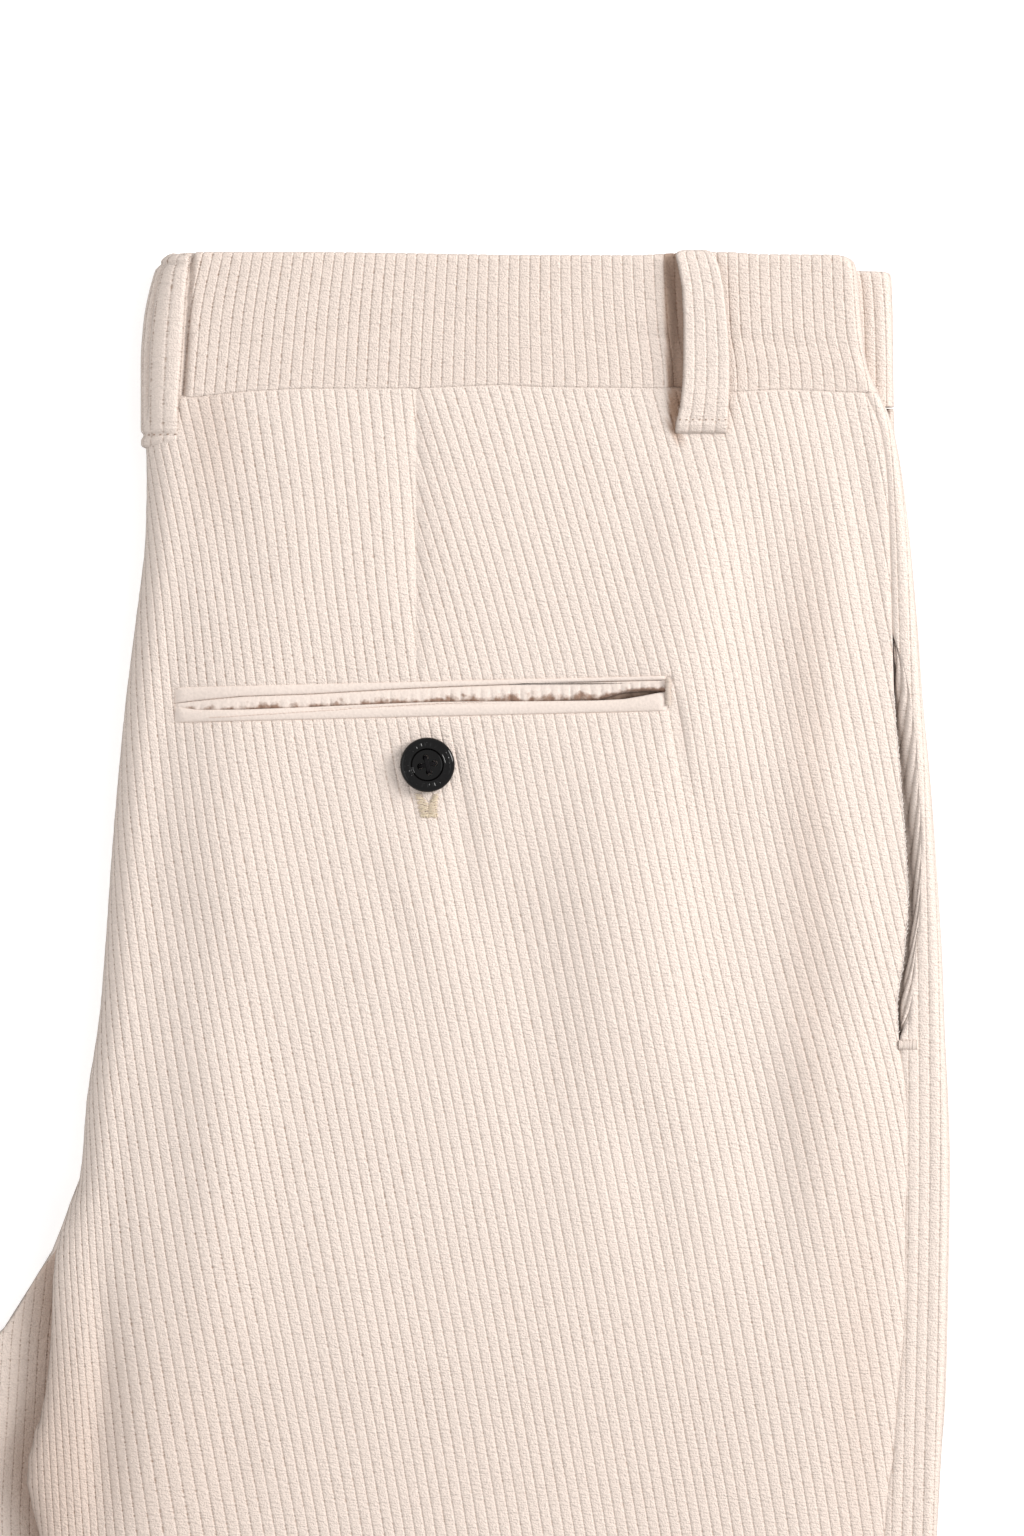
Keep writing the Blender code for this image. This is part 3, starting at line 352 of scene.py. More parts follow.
def seamWander(x, down):
    # the waistband's seam and its top edge are not quite straight
    seam = np.interp(x, wander["seamAcross"], wander["seam"])
    top = np.interp(x, wander["topAcross"], wander["top"])
    return (seam * bell(down - wander["seamDown"], wander["seamReach"])
            + top * bell(down, wander["topReach"]))


def roundSide(along, high, reach, half, flatAt):
    # past a side fold and back under it: where the cloth is, and whether it lies flat there
    turn = turnLength(reach, half)
    angle = roundEllipse(np.minimum(along, turn), reach, half, half)
    under = along > turn
    x = np.where(under, high - (along - turn), high + reach * np.sin(angle))
    return x, angle, under, flatAt(x)


def rightHalf(t, down, depth):
    # t runs across the cloth: x on top, and its length beyond both folds
    low, high = upperRange(down)
    t, low, high, down = [np.array(v) for v in np.broadcast_arrays(t, low, high, down)]
    x = np.clip(t, low, high)
    height = skin(x, down)
    back = t < low
    if back.any():
        middle, top = seamHeight(down[back]), edgeHeight(down[back])
        fall = middle - rollBottom(down[back])
        reach = garment["backFoldReach"]
        angle = roundEllipse(low[back] - t[back], reach, top - middle, fall)
        x[back] = low[back] - reach * np.sin(angle)
        half = np.where(angle < quarterTurn, top - middle, fall)
        height[back] = middle + half * np.cos(angle)
    side = t > high
    if side.any():
        top = skin(high[side], down[side])
        half = 0.5 * (top - underside(high[side], down[side], depth))
        x[side], angle, under, flat = roundSide(
            t[side] - high[side], high[side], garment["sideFoldReach"], half,
            lambda xs: underside(xs, down[side], depth))
        height[side] = np.where(under, flat, top - half + half * np.cos(angle))
    return point(x, down + seamWander(x, down), height)


def sideFoldLength(down, depth):
    high = upperRange(down)[1]
    half = 0.5 * (skin(high, down) - underside(high, down, depth))
    return turnLength(garment["sideFoldReach"], half)


def backFoldLength(down, last):
    middle = seamHeight(down)
    return ellipseLength(garment["backFoldReach"], edgeHeight(down) - middle,
                         middle - rollBottom(down), last)


def slopeAt(table, x, down):
    # how far the wales lean sideways for each mm down
    downs = sorted(table["rows"])
    above = max([level for level in downs if level <= down], default=downs[0])
    below = min([level for level in downs if level >= down], default=downs[-1])
    share = 0.0 if above == below else (down - above) / (below - above)
    upper = np.interp(x, table["across"], table["rows"][above])
    return mix(upper, np.interp(x, table["across"], table["rows"][below]), share)


def seedPlaces(lines, pitches):
    # where the lines of the cloth cross the seed level, each wale as wide as the table says
    if not pitches:
        return lines * cloth["pitch"]
    step = 0.25
    x = np.arange(-300.0, 300.0, step)
    count = np.cumsum(step / np.interp(x, pitches["across"], pitches["widths"]))
    count -= np.interp(0.0, x, count)
    return np.interp(lines, count, x)


def traceWales(levels, lines, seedLevel, slopes, pitches):
    # where each line of the cloth runs at each level, followed down and up from the seed level
    at = np.empty((len(levels), len(lines)))
    seed = int(np.argmin(np.abs(np.array(levels) - seedLevel)))
    at[seed] = seedPlaces(lines, pitches)
    for row in list(range(seed + 1, len(levels))) + list(range(seed - 1, -1, -1)):
        before = row - 1 if row > seed else row + 1
        steps = max(1, math.ceil(abs(levels[row] - levels[before]) / cloth["pitch"]))
        step = (levels[row] - levels[before]) / steps
        x = at[before].copy()
        for count in range(steps):
            down = levels[before] + step * count
            half = x + 0.5 * step * slopeAt(slopes, x, down)
            x = x + step * slopeAt(slopes, half, down + 0.5 * step)
        at[row] = x
    return at


def grid(levels, columns):
    # every column at every level: the columns' places, and the levels
    columns, levels = np.asarray(columns, dtype=float), np.asarray(levels, dtype=float)
    return [part.copy() for part in np.meshgrid(columns, levels)]


def edges(levels, *sides):
    return [np.array([side(level) for level in levels], dtype=float)[:, None] for side in sides]


def waleBlock(levels, first, last, perWale, seedLevel, slopes, lowest, highest, pitches=None):
    # a grid of cloth whose columns follow the wales, held between two edges
    lines = np.add.outer(np.arange(first, last), cloth["columns"][perWale]).reshape(-1)
    lines, downs = grid(levels, np.append(lines, last))
    free = traceWales(levels, lines[0], seedLevel, slopes, pitches)
    held = np.clip(free, *edges(levels, lowest, highest))
    wales = np.array([np.interp(held[row], free[row], lines[0]) for row in range(len(levels))])
    return {"t": held, "down": downs, "wale": wales}


def plainBlock(levels, columns, lowest, highest):
    # an even grid between two edges, with no wales raised
    share, downs = grid(levels, np.linspace(0.0, 1.0, columns + 1))
    t = mix(*edges(levels, lowest, highest), share)
    return {"t": t, "down": downs, "wale": t / cloth["pitch"], "plain": True}


def waleShape(wale, roundness=cloth["roundness"]):
    # 0 in a groove, 1 on a crest
    return np.abs(np.sin(math.pi * wale)) ** roundness


def waleLift(wale, tips=1.0, sink=cloth["sink"]):
    return cloth["rib"] * (waleShape(wale) * tips - sink)


def selectOnly(piece):
    bpy.ops.object.select_all(action="DESELECT")
    piece.select_set(True)
    bpy.context.view_layer.objects.active = piece


def applyModifiers(piece):
    selectOnly(piece)
    for modifier in list(piece.modifiers):
        bpy.ops.object.modifier_apply(modifier=modifier.name)


def editAll(piece, *steps):
    # each step acts on all of the piece
    selectOnly(piece)
    bpy.ops.object.mode_set(mode="EDIT")
    bpy.ops.mesh.select_all(action="SELECT")
    for step in steps:
        step()
    bpy.ops.object.mode_set(mode="OBJECT")


def giveWall(piece, wall):
    solid = piece.modifiers.new("wall", "SOLIDIFY")
    solid.thickness = wall * mm
    solid.offset = -1.0
    applyModifiers(piece)


def cutAway(piece, tool):
    cut = piece.modifiers.new("cut", "BOOLEAN")
    cut.operation = "DIFFERENCE"
    cut.object = tool
    applyModifiers(piece)
    bpy.data.objects.remove(tool, do_unlink=True)


def newPiece(name, points, faces, material):
    mesh = bpy.data.meshes.new(name)
    mesh.from_pydata((points * mm).tolist(), [], faces)
    mesh.materials.append(material)
    piece = bpy.data.objects.new(name, mesh)
    bpy.context.scene.collection.objects.link(piece)
    return piece


def quadRing(index):
    # the four corners of every face between the rows and columns of a grid
    return [index[:-1, :-1], index[1:, :-1], index[1:, 1:], index[:-1, 1:]]


def mapCloth(piece, uv):
    # uv holds a pair for every corner of every face
    layer = piece.data.uv_layers.new(name="cloth")
    layer.data.foreach_set("uv", uv.reshape(-1))


def sewSheet(name, blocks, place, facing, wall, lift):
    # one piece of cloth from its blocks: weld them, give them a wall, then raise the outer side
    spots, normals, lifts, uvs, quads = [], [], [], [], []
    offset, beside = 0, 0.4
    for block in blocks:
        t, down = block["t"], block["down"]
        alongT = place(t + beside, down) - place(t - beside, down)
        alongDown = place(t, down + beside) - place(t, down - beside)
        normal = facing * np.cross(alongDown, alongT)
        normal /= np.maximum(np.linalg.norm(normal, axis=-1, keepdims=True), 1e-9)
        spots.append(place(t, down).reshape(-1, 3))
        normals.append(normal.reshape(-1, 3))
        lifts.append(lift(block, t, down).reshape(-1))
        uvs.append(np.stack([block["wale"], down / cloth["pitch"]], axis=-1).reshape(-1, 2))
        ring = quadRing(offset + np.arange(t.size).reshape(t.shape))
        faces = np.stack(ring if facing > 0 else ring[::-1], axis=-1)
        quads.append(faces[block.get("keep", np.ones(faces.shape[:2], dtype=bool))])
        offset += t.size
    spots, normals, lifts, uvs, quads = [
        np.concatenate(group) for group in (spots, normals, lifts, uvs, quads)]
    _, first, same = np.unique(
        np.round(spots, 4), axis=0, return_index=True, return_inverse=True)
    same = same.reshape(-1)
    faces, corners = [], []
    for quad in quads:
        ring = []
        for corner in quad:
            if not ring or same[corner] != same[ring[-1]]:
                ring.append(corner)
        if len(ring) > 1 and same[ring[0]] == same[ring[-1]]:
            ring.pop()
        if len(ring) > 2 and len({same[corner] for corner in ring}) == len(ring):
            faces.append([int(same[corner]) for corner in ring])
            corners += ring
    piece = newPiece(name, spots[first], faces, corduroy)
    mapCloth(piece, uvs[corners])
    mesh = piece.data
    raiseBy = normals[first] * lifts[first][:, None] * mm
    holder = mesh.attributes.new("raise", "FLOAT_VECTOR", "POINT")
    holder.data.foreach_set("vector", raiseBy.reshape(-1))
    editAll(piece, bpy.ops.mesh.delete_loose)
    raiseBy = np.empty(3 * len(mesh.vertices))
    mesh.attributes["raise"].data.foreach_get("vector", raiseBy)
    mesh.attributes.remove(mesh.attributes["raise"])
    if wall:
        giveWall(piece, wall)
    else:      # a tube of cloth: close its open ends
        editAll(piece, lambda: bpy.ops.mesh.fill_holes(sides=0),
                lambda: bpy.ops.mesh.normals_make_consistent(inside=False))
    at = np.empty(3 * len(mesh.vertices))
    mesh.vertices.foreach_get("co", at)
    at[:len(raiseBy)] += raiseBy
    mesh.vertices.foreach_set("co", at)
    mesh.shade_smooth()
    print(name, sum(len(face.vertices) - 2 for face in mesh.polygons))
    return piece


def paintShade(piece, amount):
    # amount(x, down) from 0 to 1: how much painted shade darkens the piece there
    spots = np.empty(3 * len(piece.data.vertices))
    piece.data.vertices.foreach_get("co", spots)
    spots = spots.reshape(-1, 3) / mm
    values = amount(spots[:, 0], 0.5 * garment["length"] - spots[:, 1])
    holder = piece.data.attributes.new("paintedShade", "FLOAT", "POINT")
    holder.data.foreach_set("value", np.ascontiguousarray(values, dtype=float))


def dress(piece, node=None):
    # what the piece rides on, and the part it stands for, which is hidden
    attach(piece, "root")
    if node:
        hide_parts(node)
    return piece


# Finishes

def newMaterial(name):
    # gives back what adds a node, with its inputs, and what completes the finish
    material = bpy.data.materials.new(name)
    material.use_nodes = True
    tree = material.node_tree

    def fill(node, inputs):
        for key, value in inputs.items():
            if isinstance(value, bpy.types.NodeSocket):
                tree.links.new(value, node.inputs[key])
            else:
                node.inputs[key].default_value = value
        return node.outputs

    def add(kind, inputs, **settings):
        node = tree.nodes.new("ShaderNode" + kind)
        for key, value in settings.items():
            setattr(node, key, value)
        return fill(node, inputs)

    def complete(inputs):
        fill(tree.nodes["Principled BSDF"], inputs)
        return material

    return add, complete


def timesPlus(add, value, times, plus):
    return add("Math", {0: value, 1: times, 2: plus}, operation="MULTIPLY_ADD")["Value"]


def ranged(add, value, start, end, low=0.0, high=1.0, **settings):
    inputs = {"Value": value, "From Min": start, "From Max": end, "To Min": low, "To Max": high}
    return add("MapRange", inputs, **settings)["Result"]


def blend(add, share, first, second, **settings):
    inputs = {"Factor": share, "A": first, "B": second}
    return add("Mix", inputs, data_type="RGBA", **settings)["Result"]


def noise(add, place, scale, detail=2.0):
    return add("TexNoise", {"Vector": place, "Scale": scale, "Detail": detail})["Fac"]


def bumped(add, height, strength, distance):
    inputs = {"Height": height, "Strength": strength, "Distance": distance * mm}
    return add("Bump", inputs)["Normal"]


def shaded(tone, share):
    return tuple(share * part for part in tone[:3]) + (1.0,)


def corduroyFinish():
    # a pair or a row of four is what a value runs from and to, and what it becomes
    finish = {
        "crest": (0.83, 0.713, 0.64, 1.0),
        # a groove's darker tone is partly the ground weave's own and partly painted shade; the next
        # tone is deeper painted shade
        "groove": (0.67, 0.54, 0.46, 1.0),
        "shadedGroove": (0.42, 0.30, 0.235, 1.0),
        "grooveEdge": (-0.16, 0.2),
        "unevenness": (0.9, -0.45),    # how far the nubs break up a groove's edge
        "seamAt": 13.1,                # the waistband's seam in the UV map
        "seamReach": 0.2,
        "seamFlat": 0.3,               # how far the grooves are pressed flat there
        "sharpness": 2.0,
        "seatShade": (0.02, -0.09, 0.0, 0.75),
        "patchScale": 24.0,
        "patchShade": (0.45, 0.7, 0.0, 0.6),
        "speckleScale": 1900.0,
        "speckle": (0.3, 0.7, 0.93, 1.04),
        "nubs": (0.7, 2.6, 1.0),       # how close they stand across a wale and along it
        "nubScale": 1.6,
        "nubHeight": 1.5,
        "turned": (0.15, 0.95, 0.56, 1.0),   # painted shade: how much darker the cloth is where it turns from up
        # the brown tone of the painted shade
        "paintedShade": (0.50, 0.37, 0.29, 1.0),
        "ditch": (0.0, 0.13),
        "ditchHeight": 0.3,
        "bump": (0.85, 0.5),
        "gloss": {"Roughness": 0.92, "Specular IOR Level": 0.2, "Sheen Weight": 0.08,
                  "Sheen Roughness": 0.45, "Sheen Tint": (1.0, 0.95, 0.9, 1.0)},
    }
    add, complete = newMaterial("creamCorduroy")
    uv = add("UVMap", {}, uv_map="cloth")["UV"]
    split = add("SeparateXYZ", {"Vector": uv})
    where = add("TexCoord", {})
    crest = add("Math", {0: split["X"], 1: 0.5}, operation="PINGPONG")["Value"]
    nubPlace = add("Mapping", {"Vector": uv, "Scale": finish["nubs"]})["Vector"]
    nubs = noise(add, nubPlace, finish["nubScale"], 3.0)
    pile = noise(add, where["Object"], finish["speckleScale"])
    broken = timesPlus(add, nubs, *finish["unevenness"])
    toSeam = add("Math", {0: split["Y"], 1: finish["seamAt"], 2: finish["seamReach"]},
                 operation="COMPARE")["Value"]
    fromGroove = timesPlus(add, toSeam, finish["seamFlat"], crest)
    edge = timesPlus(add, fromGroove, finish["sharpness"], broken)
    shade = ranged(add, edge, *finish["grooveEdge"], interpolation_type="SMOOTHSTEP")
    # painted shade in the grooves: deeper towards the seat, where the cloth turns from the light,
    # and in random patches elsewhere
    across = add("SeparateXYZ", {"Vector": where["Object"]})["X"]
    patches = noise(add, where["Object"], finish["patchScale"])
    grooveShade = add("Math", {0: ranged(add, across, *finish["seatShade"]),
                          1: ranged(add, patches, *finish["patchShade"])},
                 operation="ADD", use_clamp=True)["Value"]
    tone = blend(add, grooveShade, finish["groove"], finish["shadedGroove"])
    tone = blend(add, shade, tone, finish["crest"])
    fleck = ranged(add, pile, *finish["speckle"])
    tone = blend(add, 1.0, tone, fleck, blend_type="MULTIPLY")
    # painted shade: darker where the cloth turns away from up, on turned edges and steep folds
    facing = add("SeparateXYZ", {"Vector": where["Normal"]})["Z"]
    level = add("Math", {0: facing}, operation="ABSOLUTE")["Value"]
    deeper = ranged(add, level, *finish["turned"])
    tone = blend(add, 1.0, tone, deeper, blend_type="MULTIPLY")
    # painted shade: darker and browner where the piece's own values say so
    paintedShade = add("Attribute", {}, attribute_name="paintedShade")["Fac"]
    tone = blend(add, paintedShade, tone, finish["paintedShade"], blend_type="MULTIPLY")
    tufts = timesPlus(add, nubs, finish["nubHeight"], pile)
    ditch = ranged(add, fromGroove, *finish["ditch"], interpolation_type="SMOOTHSTEP")
    height = timesPlus(add, ditch, finish["ditchHeight"], tufts)
    return complete({"Base Color": tone, "Normal": bumped(add, height, *finish["bump"]),
                     **finish["gloss"]})


def pileFinish(name, tone, dark=None, blotches=None):
    # short cut pile with no wales; blotches is where painted shade darkens it towards one edge, in
    # the dark tone given
    finish = {
        "pileScale": 1300.0,
        "fleck": (0.3, 0.7),
        "shade": 0.9,
        "blotchScale": 420.0,
        "blotchReach": 1.3,
        "bump": (0.6, 0.25),
        "gloss": {"Roughness": 0.92, "Specular IOR Level": 0.2, "Sheen Weight": 0.08},
    }
    add, complete = newMaterial(name)
    where = add("TexCoord", {})["Object"]
    pile = noise(add, where, finish["pileScale"], 3.0)
    fleck = ranged(add, pile, *finish["fleck"])
    colour = blend(add, fleck, shaded(tone, finish["shade"]), tone)
    if blotches:
        across = add("SeparateXYZ", {"Vector": add("UVMap", {}, uv_map="cloth")["UV"]})["Y"]
        mottle = noise(add, where, finish["blotchScale"])
        low = timesPlus(add, mottle, finish["blotchReach"], across)
        shadeShare = ranged(add, low, *blotches, interpolation_type="SMOOTHSTEP")
        colour = blend(add, shadeShare, colour, dark)
    return complete({"Base Color": colour, "Normal": bumped(add, pile, *finish["bump"]),
                     **finish["gloss"]})


def threadFinish(name, red, green, blue, roughness=0.75, specular=0.5):
    # spun thread: fine twisted streaks in its colour and surface
    finish = {"twistScale": 1600.0, "unevenness": 3.0, "shade": 0.72, "bump": (0.4, 0.06)}
    add, complete = newMaterial(name)
    tone = (red, green, blue, 1.0)
    twist = add("TexWave", {
        "Vector": add("TexCoord", {})["Object"], "Scale": finish["twistScale"],
        "Distortion": finish["unevenness"]}, bands_direction="DIAGONAL")["Fac"]
    return complete({
        "Base Color": blend(add, twist, shaded(tone, finish["shade"]), tone),
        "Normal": bumped(add, twist, *finish["bump"]), "Roughness": roughness,
        "Specular IOR Level": specular})


def glossFinish():
    # moulded black plastic, polished, with the faintest unevenness
    finish = {
        "darker": (0.0012, 0.001, 0.001, 1.0),
        "lighter": (0.003, 0.0025, 0.0025, 1.0),
        "wearScale": 260.0,
        "roughness": (0.04, 0.1),
        "gloss": 0.27,
    }
    add, complete = newMaterial("blackGloss")
    wear = noise(add, add("TexCoord", {})["Object"], finish["wearScale"], 4.0)
    return complete({"Base Color": blend(add, wear, finish["darker"], finish["lighter"]),
                     "Roughness": ranged(add, wear, 0.0, 1.0, *finish["roughness"]),
                     "Specular IOR Level": finish["gloss"]})


pileTone = (0.82, 0.705, 0.635, 1.0)
corduroy = corduroyFinish()
pilePlain = pileFinish("creamPile", pileTone)
# the flap: cream pile, with painted shade in blotches towards the slit
flapCloth = pileFinish("flapCloth", pileTone, (0.30, 0.19, 0.14, 1.0), (1.15, 1.6))
# the strip seen down in the pocket's opening: brown painted shade, darker in blotches towards the
# slit
shadedLiningCloth = pileFinish("shadedLiningCloth", (0.34, 0.24, 0.185, 1.0), (0.10, 0.062, 0.044, 1.0),
                         (0.9, 1.6))
roseThread = threadFinish("roseThread", 0.78, 0.61, 0.52)
darkThread = threadFinish("darkThread", 0.006, 0.005, 0.006, 0.6, 0.12)
umberThread = threadFinish("umberThread", 0.42, 0.30, 0.235)
tackThread = threadFinish("tackThread", 0.74, 0.62, 0.535)
creamThread = threadFinish("creamThread", 0.83, 0.715, 0.64)
ochreThread = threadFinish("ochreThread", 0.85, 0.72, 0.54)
frayThread = threadFinish("frayThread", 0.84, 0.76, 0.70)
blackGloss = glossFinish()
print("mixed the finishes")

# Right back panel, the one that faces up

pocket = {
    "x": -1.0,
    "down": 128.2,
    "tilt": math.radians(1.35),
    "length": 141.2,
    "above": 4.4,         # from its line up to the edge of its window
    "below": 4.9,
}
pocketLeft = pocket["x"] - 0.5 * pocket["length"]
pocketRight = pocket["x"] + 0.5 * pocket["length"]
pocketTop = pocket["down"] - pocket["above"]
pocketBottom = pocket["down"] + pocket["below"]
# A dip such as windowDip has its depth and its width.
dart = {"x": -2.25, "ends": 126.0, "fades": 10.0, "depth": 0.35, "width": 0.8, "tipLength": 1.4}
topSeam = {"tuck": 0.9, "tuckFrom": -0.7, "tuckOver": 0.8, "dip": 0.17, "width": 0.8}
sideSeam = {"backOpens": (104.0, 5.0), "frontOpens": (106.0, 8.0), "closes": 230.0,
            "closesOver": 5.0}
backPanel = {
    "tiltFrom": 100.0,
    "tiltTo": 158.0,
    "tipLength": 1.1,      # over how much a wale rises beside the top and the pocket
    "seamTips": 1.3,
    "windowDip": (0.25, 0.9),
    "seamDip": (0.2, 0.9),
    "foldTurns": (math.radians(90.0), math.radians(84.0)),   # at the seat, and more at the leg
}
# how the wales lean, left of the dart, right of it, and from the pocket down
aboveLeft = {
    "across": (-95, -67, -53, -35, -18, -3),
    "rows": {
        40: (0.20, 0.20, 0.15, 0.13, 0.11, 0.12),
        66: (0.22, 0.22, 0.18, 0.14, 0.10, 0.09),
        86: (0.17, 0.17, 0.14, 0.10, 0.10, 0.06),
        103: (0.10, 0.12, 0.16, 0.16, 0.13, 0.13),
        128: (0.08, 0.10, 0.13, 0.15, 0.16, 0.17),
    },
}
aboveRight = {
    "across": (-3, 10, 27, 45, 62, 79, 96, 113, 127, 134),
    "rows": {
        40: (0.31, 0.31, 0.29, 0.27, 0.28, 0.27, 0.25, 0.21, 0.20, 0.20),
        66: (0.31, 0.31, 0.27, 0.28, 0.27, 0.26, 0.17, 0.18, 0.18, 0.18),
        86: (0.30, 0.30, 0.28, 0.27, 0.27, 0.23, 0.15, 0.18, 0.18, 0.18),
        103: (0.27, 0.27, 0.27, 0.26, 0.27, 0.23, 0.16, 0.17, 0.18, 0.18),
        128: (0.20, 0.22, 0.22, 0.22, 0.23, 0.19, 0.18, 0.19, 0.19, 0.19),
    },
}
belowPocket = {
    "across": (-120, -93, -81, -67, -53, -35, -18, 10, 62, 79, 96, 113, 127, 136),
    "rows": {
        128: (0.08, 0.08, 0.09, 0.10, 0.13, 0.14, 0.17, 0.19, 0.22, 0.17, 0.19, 0.21, 0.21, 0.19),
        157: (0.10, 0.10, 0.11, 0.13, 0.18, 0.20, 0.21, 0.20, 0.22, 0.18, 0.20, 0.25, 0.21, 0.20),
        174: (0.12, 0.12, 0.15, 0.17, 0.18, 0.20, 0.21, 0.21, 0.21, 0.20, 0.22, 0.26, 0.22, 0.20),
        208: (0.12, 0.12, 0.14, 0.18, 0.19, 0.20, 0.20, 0.20, 0.20, 0.22, 0.24, 0.28, 0.28, 0.26),
        226: (0.12, 0.12, 0.15, 0.17, 0.19, 0.20, 0.20, 0.20, 0.20, 0.22, 0.24, 0.27, 0.28, 0.26),
        243: (0.12, 0.12, 0.16, 0.17, 0.18, 0.20, 0.19, 0.20, 0.20, 0.20, 0.23, 0.24, 0.22, 0.20),
        260: (0.10, 0.10, 0.16, 0.18, 0.19, 0.20, 0.19, 0.19, 0.20, 0.19, 0.21, 0.21, 0.18, 0.16),
        283: (0.03, 0.06, 0.14, 0.18, 0.19, 0.20, 0.19, 0.19, 0.19, 0.18, 0.20, 0.20, 0.19, 0.17),
        306: (0.05, 0.10, 0.16, 0.19, 0.20, 0.20, 0.19, 0.19, 0.19, 0.18, 0.18, 0.19, 0.18, 0.17),
        351: (0.04, 0.08, 0.15, 0.18, 0.19, 0.19, 0.18, 0.17, 0.18, 0.18, 0.18, 0.17, 0.16, 0.14),
        400: (0.06, 0.08, 0.12, 0.14, 0.15, 0.15, 0.15, 0.14, 0.14, 0.14, 0.13, 0.12, 0.10, 0.05),
        520: (0.06, 0.07, 0.08, 0.09, 0.09, 0.09, 0.09, 0.09, 0.08, 0.08, 0.07, 0.05, 0.03, 0.01),
        700: (0.05, 0.06, 0.06, 0.06, 0.06, 0.06, 0.06, 0.06, 0.05, 0.04, 0.04, 0.03, 0.01, 0.0),
        1060: (0.045, 0.045, 0.045, 0.045, 0.045, 0.045, 0.045, 0.045, 0.035, 0.03, 0.03, 0.02,
               0.01, 0.0),
    },
}
# how wide a wale looks along the pocket, where the cloth is pushed together or not
pocketPitch = {
    "across": (-170, -140, -118, -104, -90, -81, -67, -53, -35, -18, 62, 79, 96, 113, 127),
    "widths": (1.45, 1.6, 1.85, 2.2, 2.5, 2.6, 2.62, 2.86, 2.92, 2.98, 3.0, 2.92, 2.63, 3.05, 3.15),
}


def tuckedLength(down):
    # length of cloth round the back fold, or round the leg's rolled edge and under
    turn, more = backPanel["foldTurns"]
    last = turn + more * past(down, *garment["crotchTuck"])
    return backFoldLength(down, last)


def panelLow(down):
    return upperRange(down)[0] - tuckedLength(down)


def panelSeam(down):
    return sizeAt("seam", down)


def atDart(down):
    return dart["x"]


def tiltRows(block):
    # rows near the pocket run along its slight tilt
    level = block["down"]
    along = np.clip(block["t"], pocketLeft, pocketRight) - pocket["x"]
    above = past(level, backPanel["tiltFrom"], pocketTop - backPanel["tiltFrom"])
    below = 1.0 - past(level, pocketBottom, backPanel["tiltTo"] - pocketBottom)
    block["level"] = level
    block["down"] = level - along * math.tan(pocket["tilt"]) * above * below
    return block


def cutWindow(block):
    # snap the columns at the pocket's ends to them, and drop the faces between
    level, t = block["level"], block["t"]
    inRows = (level[:, 0] >= pocketTop - 0.01) & (level[:, 0] <= pocketBottom + 0.01)
    for row in np.nonzero(inRows)[0]:
        for end in (pocketLeft, pocketRight):
            t[row, np.argmin(np.abs(t[row] - end))] = end
    inside = (t > pocketLeft - 0.01) & (t < pocketRight + 0.01) & inRows[:, None]
    first, second, third, fourth = quadRing(inside)
    block["keep"] = ~(first & second & third & fourth)
    return block


def tuckAtTop(toTop):
    # the cut top edge goes down under the waistband
    return topSeam["tuck"] * (1.0 - past(toTop, topSeam["tuckFrom"], topSeam["tuckOver"]))


def sewnSide(down, opens):
    # 1 where the side seam is closed, 0 along the pocket's mouth
    closing = ease((sideSeam["closes"] - down) / sideSeam["closesOver"])
    return 1.0 - past(down, *opens) * closing


def backPanelLift(block, t, down):
    level, far = block["level"], 99.0
    toTop = down - garment["panelTop"]
    toSeam = np.abs(sizeAt("seam", down) - t)
    dartShare = ease((dart["ends"] - level) / dart["fades"])
    toDart = np.where(level < dart["ends"] + 2.0, np.abs(t - dart["x"]), far)
    beside = np.where((t > pocketLeft - 1.0) & (t < pocketRight + 1.0), 0.0, far)
    toWindow = np.minimum(np.abs(level - pocketTop), np.abs(level - pocketBottom)) + beside
    tips = ease(toTop / backPanel["tipLength"]) * ease(toWindow / backPanel["tipLength"])
    tips = tips * mix(1.0, ease(toDart / dart["tipLength"]), dartShare)
    tips = tips * ease(toSeam / backPanel["seamTips"])
    height = waleLift(block["wale"], tips)
    height = height + dip(toTop, topSeam["dip"], topSeam["width"]) - tuckAtTop(toTop)
    height = height + dip(toWindow, *backPanel["windowDip"])
    height = height + dip(toDart, dart["depth"], dart["width"]) * dartShare
    return height + dip(toSeam, *backPanel["seamDip"]) * sewnSide(down, sideSeam["backOpens"])


upperLevels = ([38.7, 39.2, 39.6, 40.0, 40.5, 41.1, 42.2, 44.2, 47.0] + spread(51.0, 116.0, 5.9)
               + [119.0, 121.0, 122.2, 123.0, 123.4, pocketTop, 126.1, pocket["down"]])
lowerLevels = ([pocket["down"], 130.7, pocketBottom, 133.5, 134.1, 135.0, 136.4, 138.6]
               + spread(142.0, 440.0, 7.2) + spread(452.0, 1018.0, 18.0)
               + [1024.0, 1026.4, 1027.2, 1028.0, 1030.5, 1038.0, 1047.0, 1051.0, 1053.4, 1055.0])
wales = (-96, 80, 5, pocket["down"])
panelBlocks = [cutWindow(tiltRows(block)) for block in (
    waleBlock(upperLevels, *wales, aboveLeft, panelLow, atDart, pocketPitch),
    waleBlock(upperLevels, *wales, aboveRight, atDart, panelSeam, pocketPitch),
    waleBlock(lowerLevels, *wales, belowPocket, panelLow, panelSeam, pocketPitch))]


def panelPlace(t, down):
    return rightHalf(t, down, garment["innerDepth"])


rightBackPanel = dress(sewSheet("rightBackPanel", panelBlocks, panelPlace, 1,
                                cloth["panelWall"], backPanelLift), "right_back_panel")
print("sewed the right back panel")

# The other cloth pieces of the right half

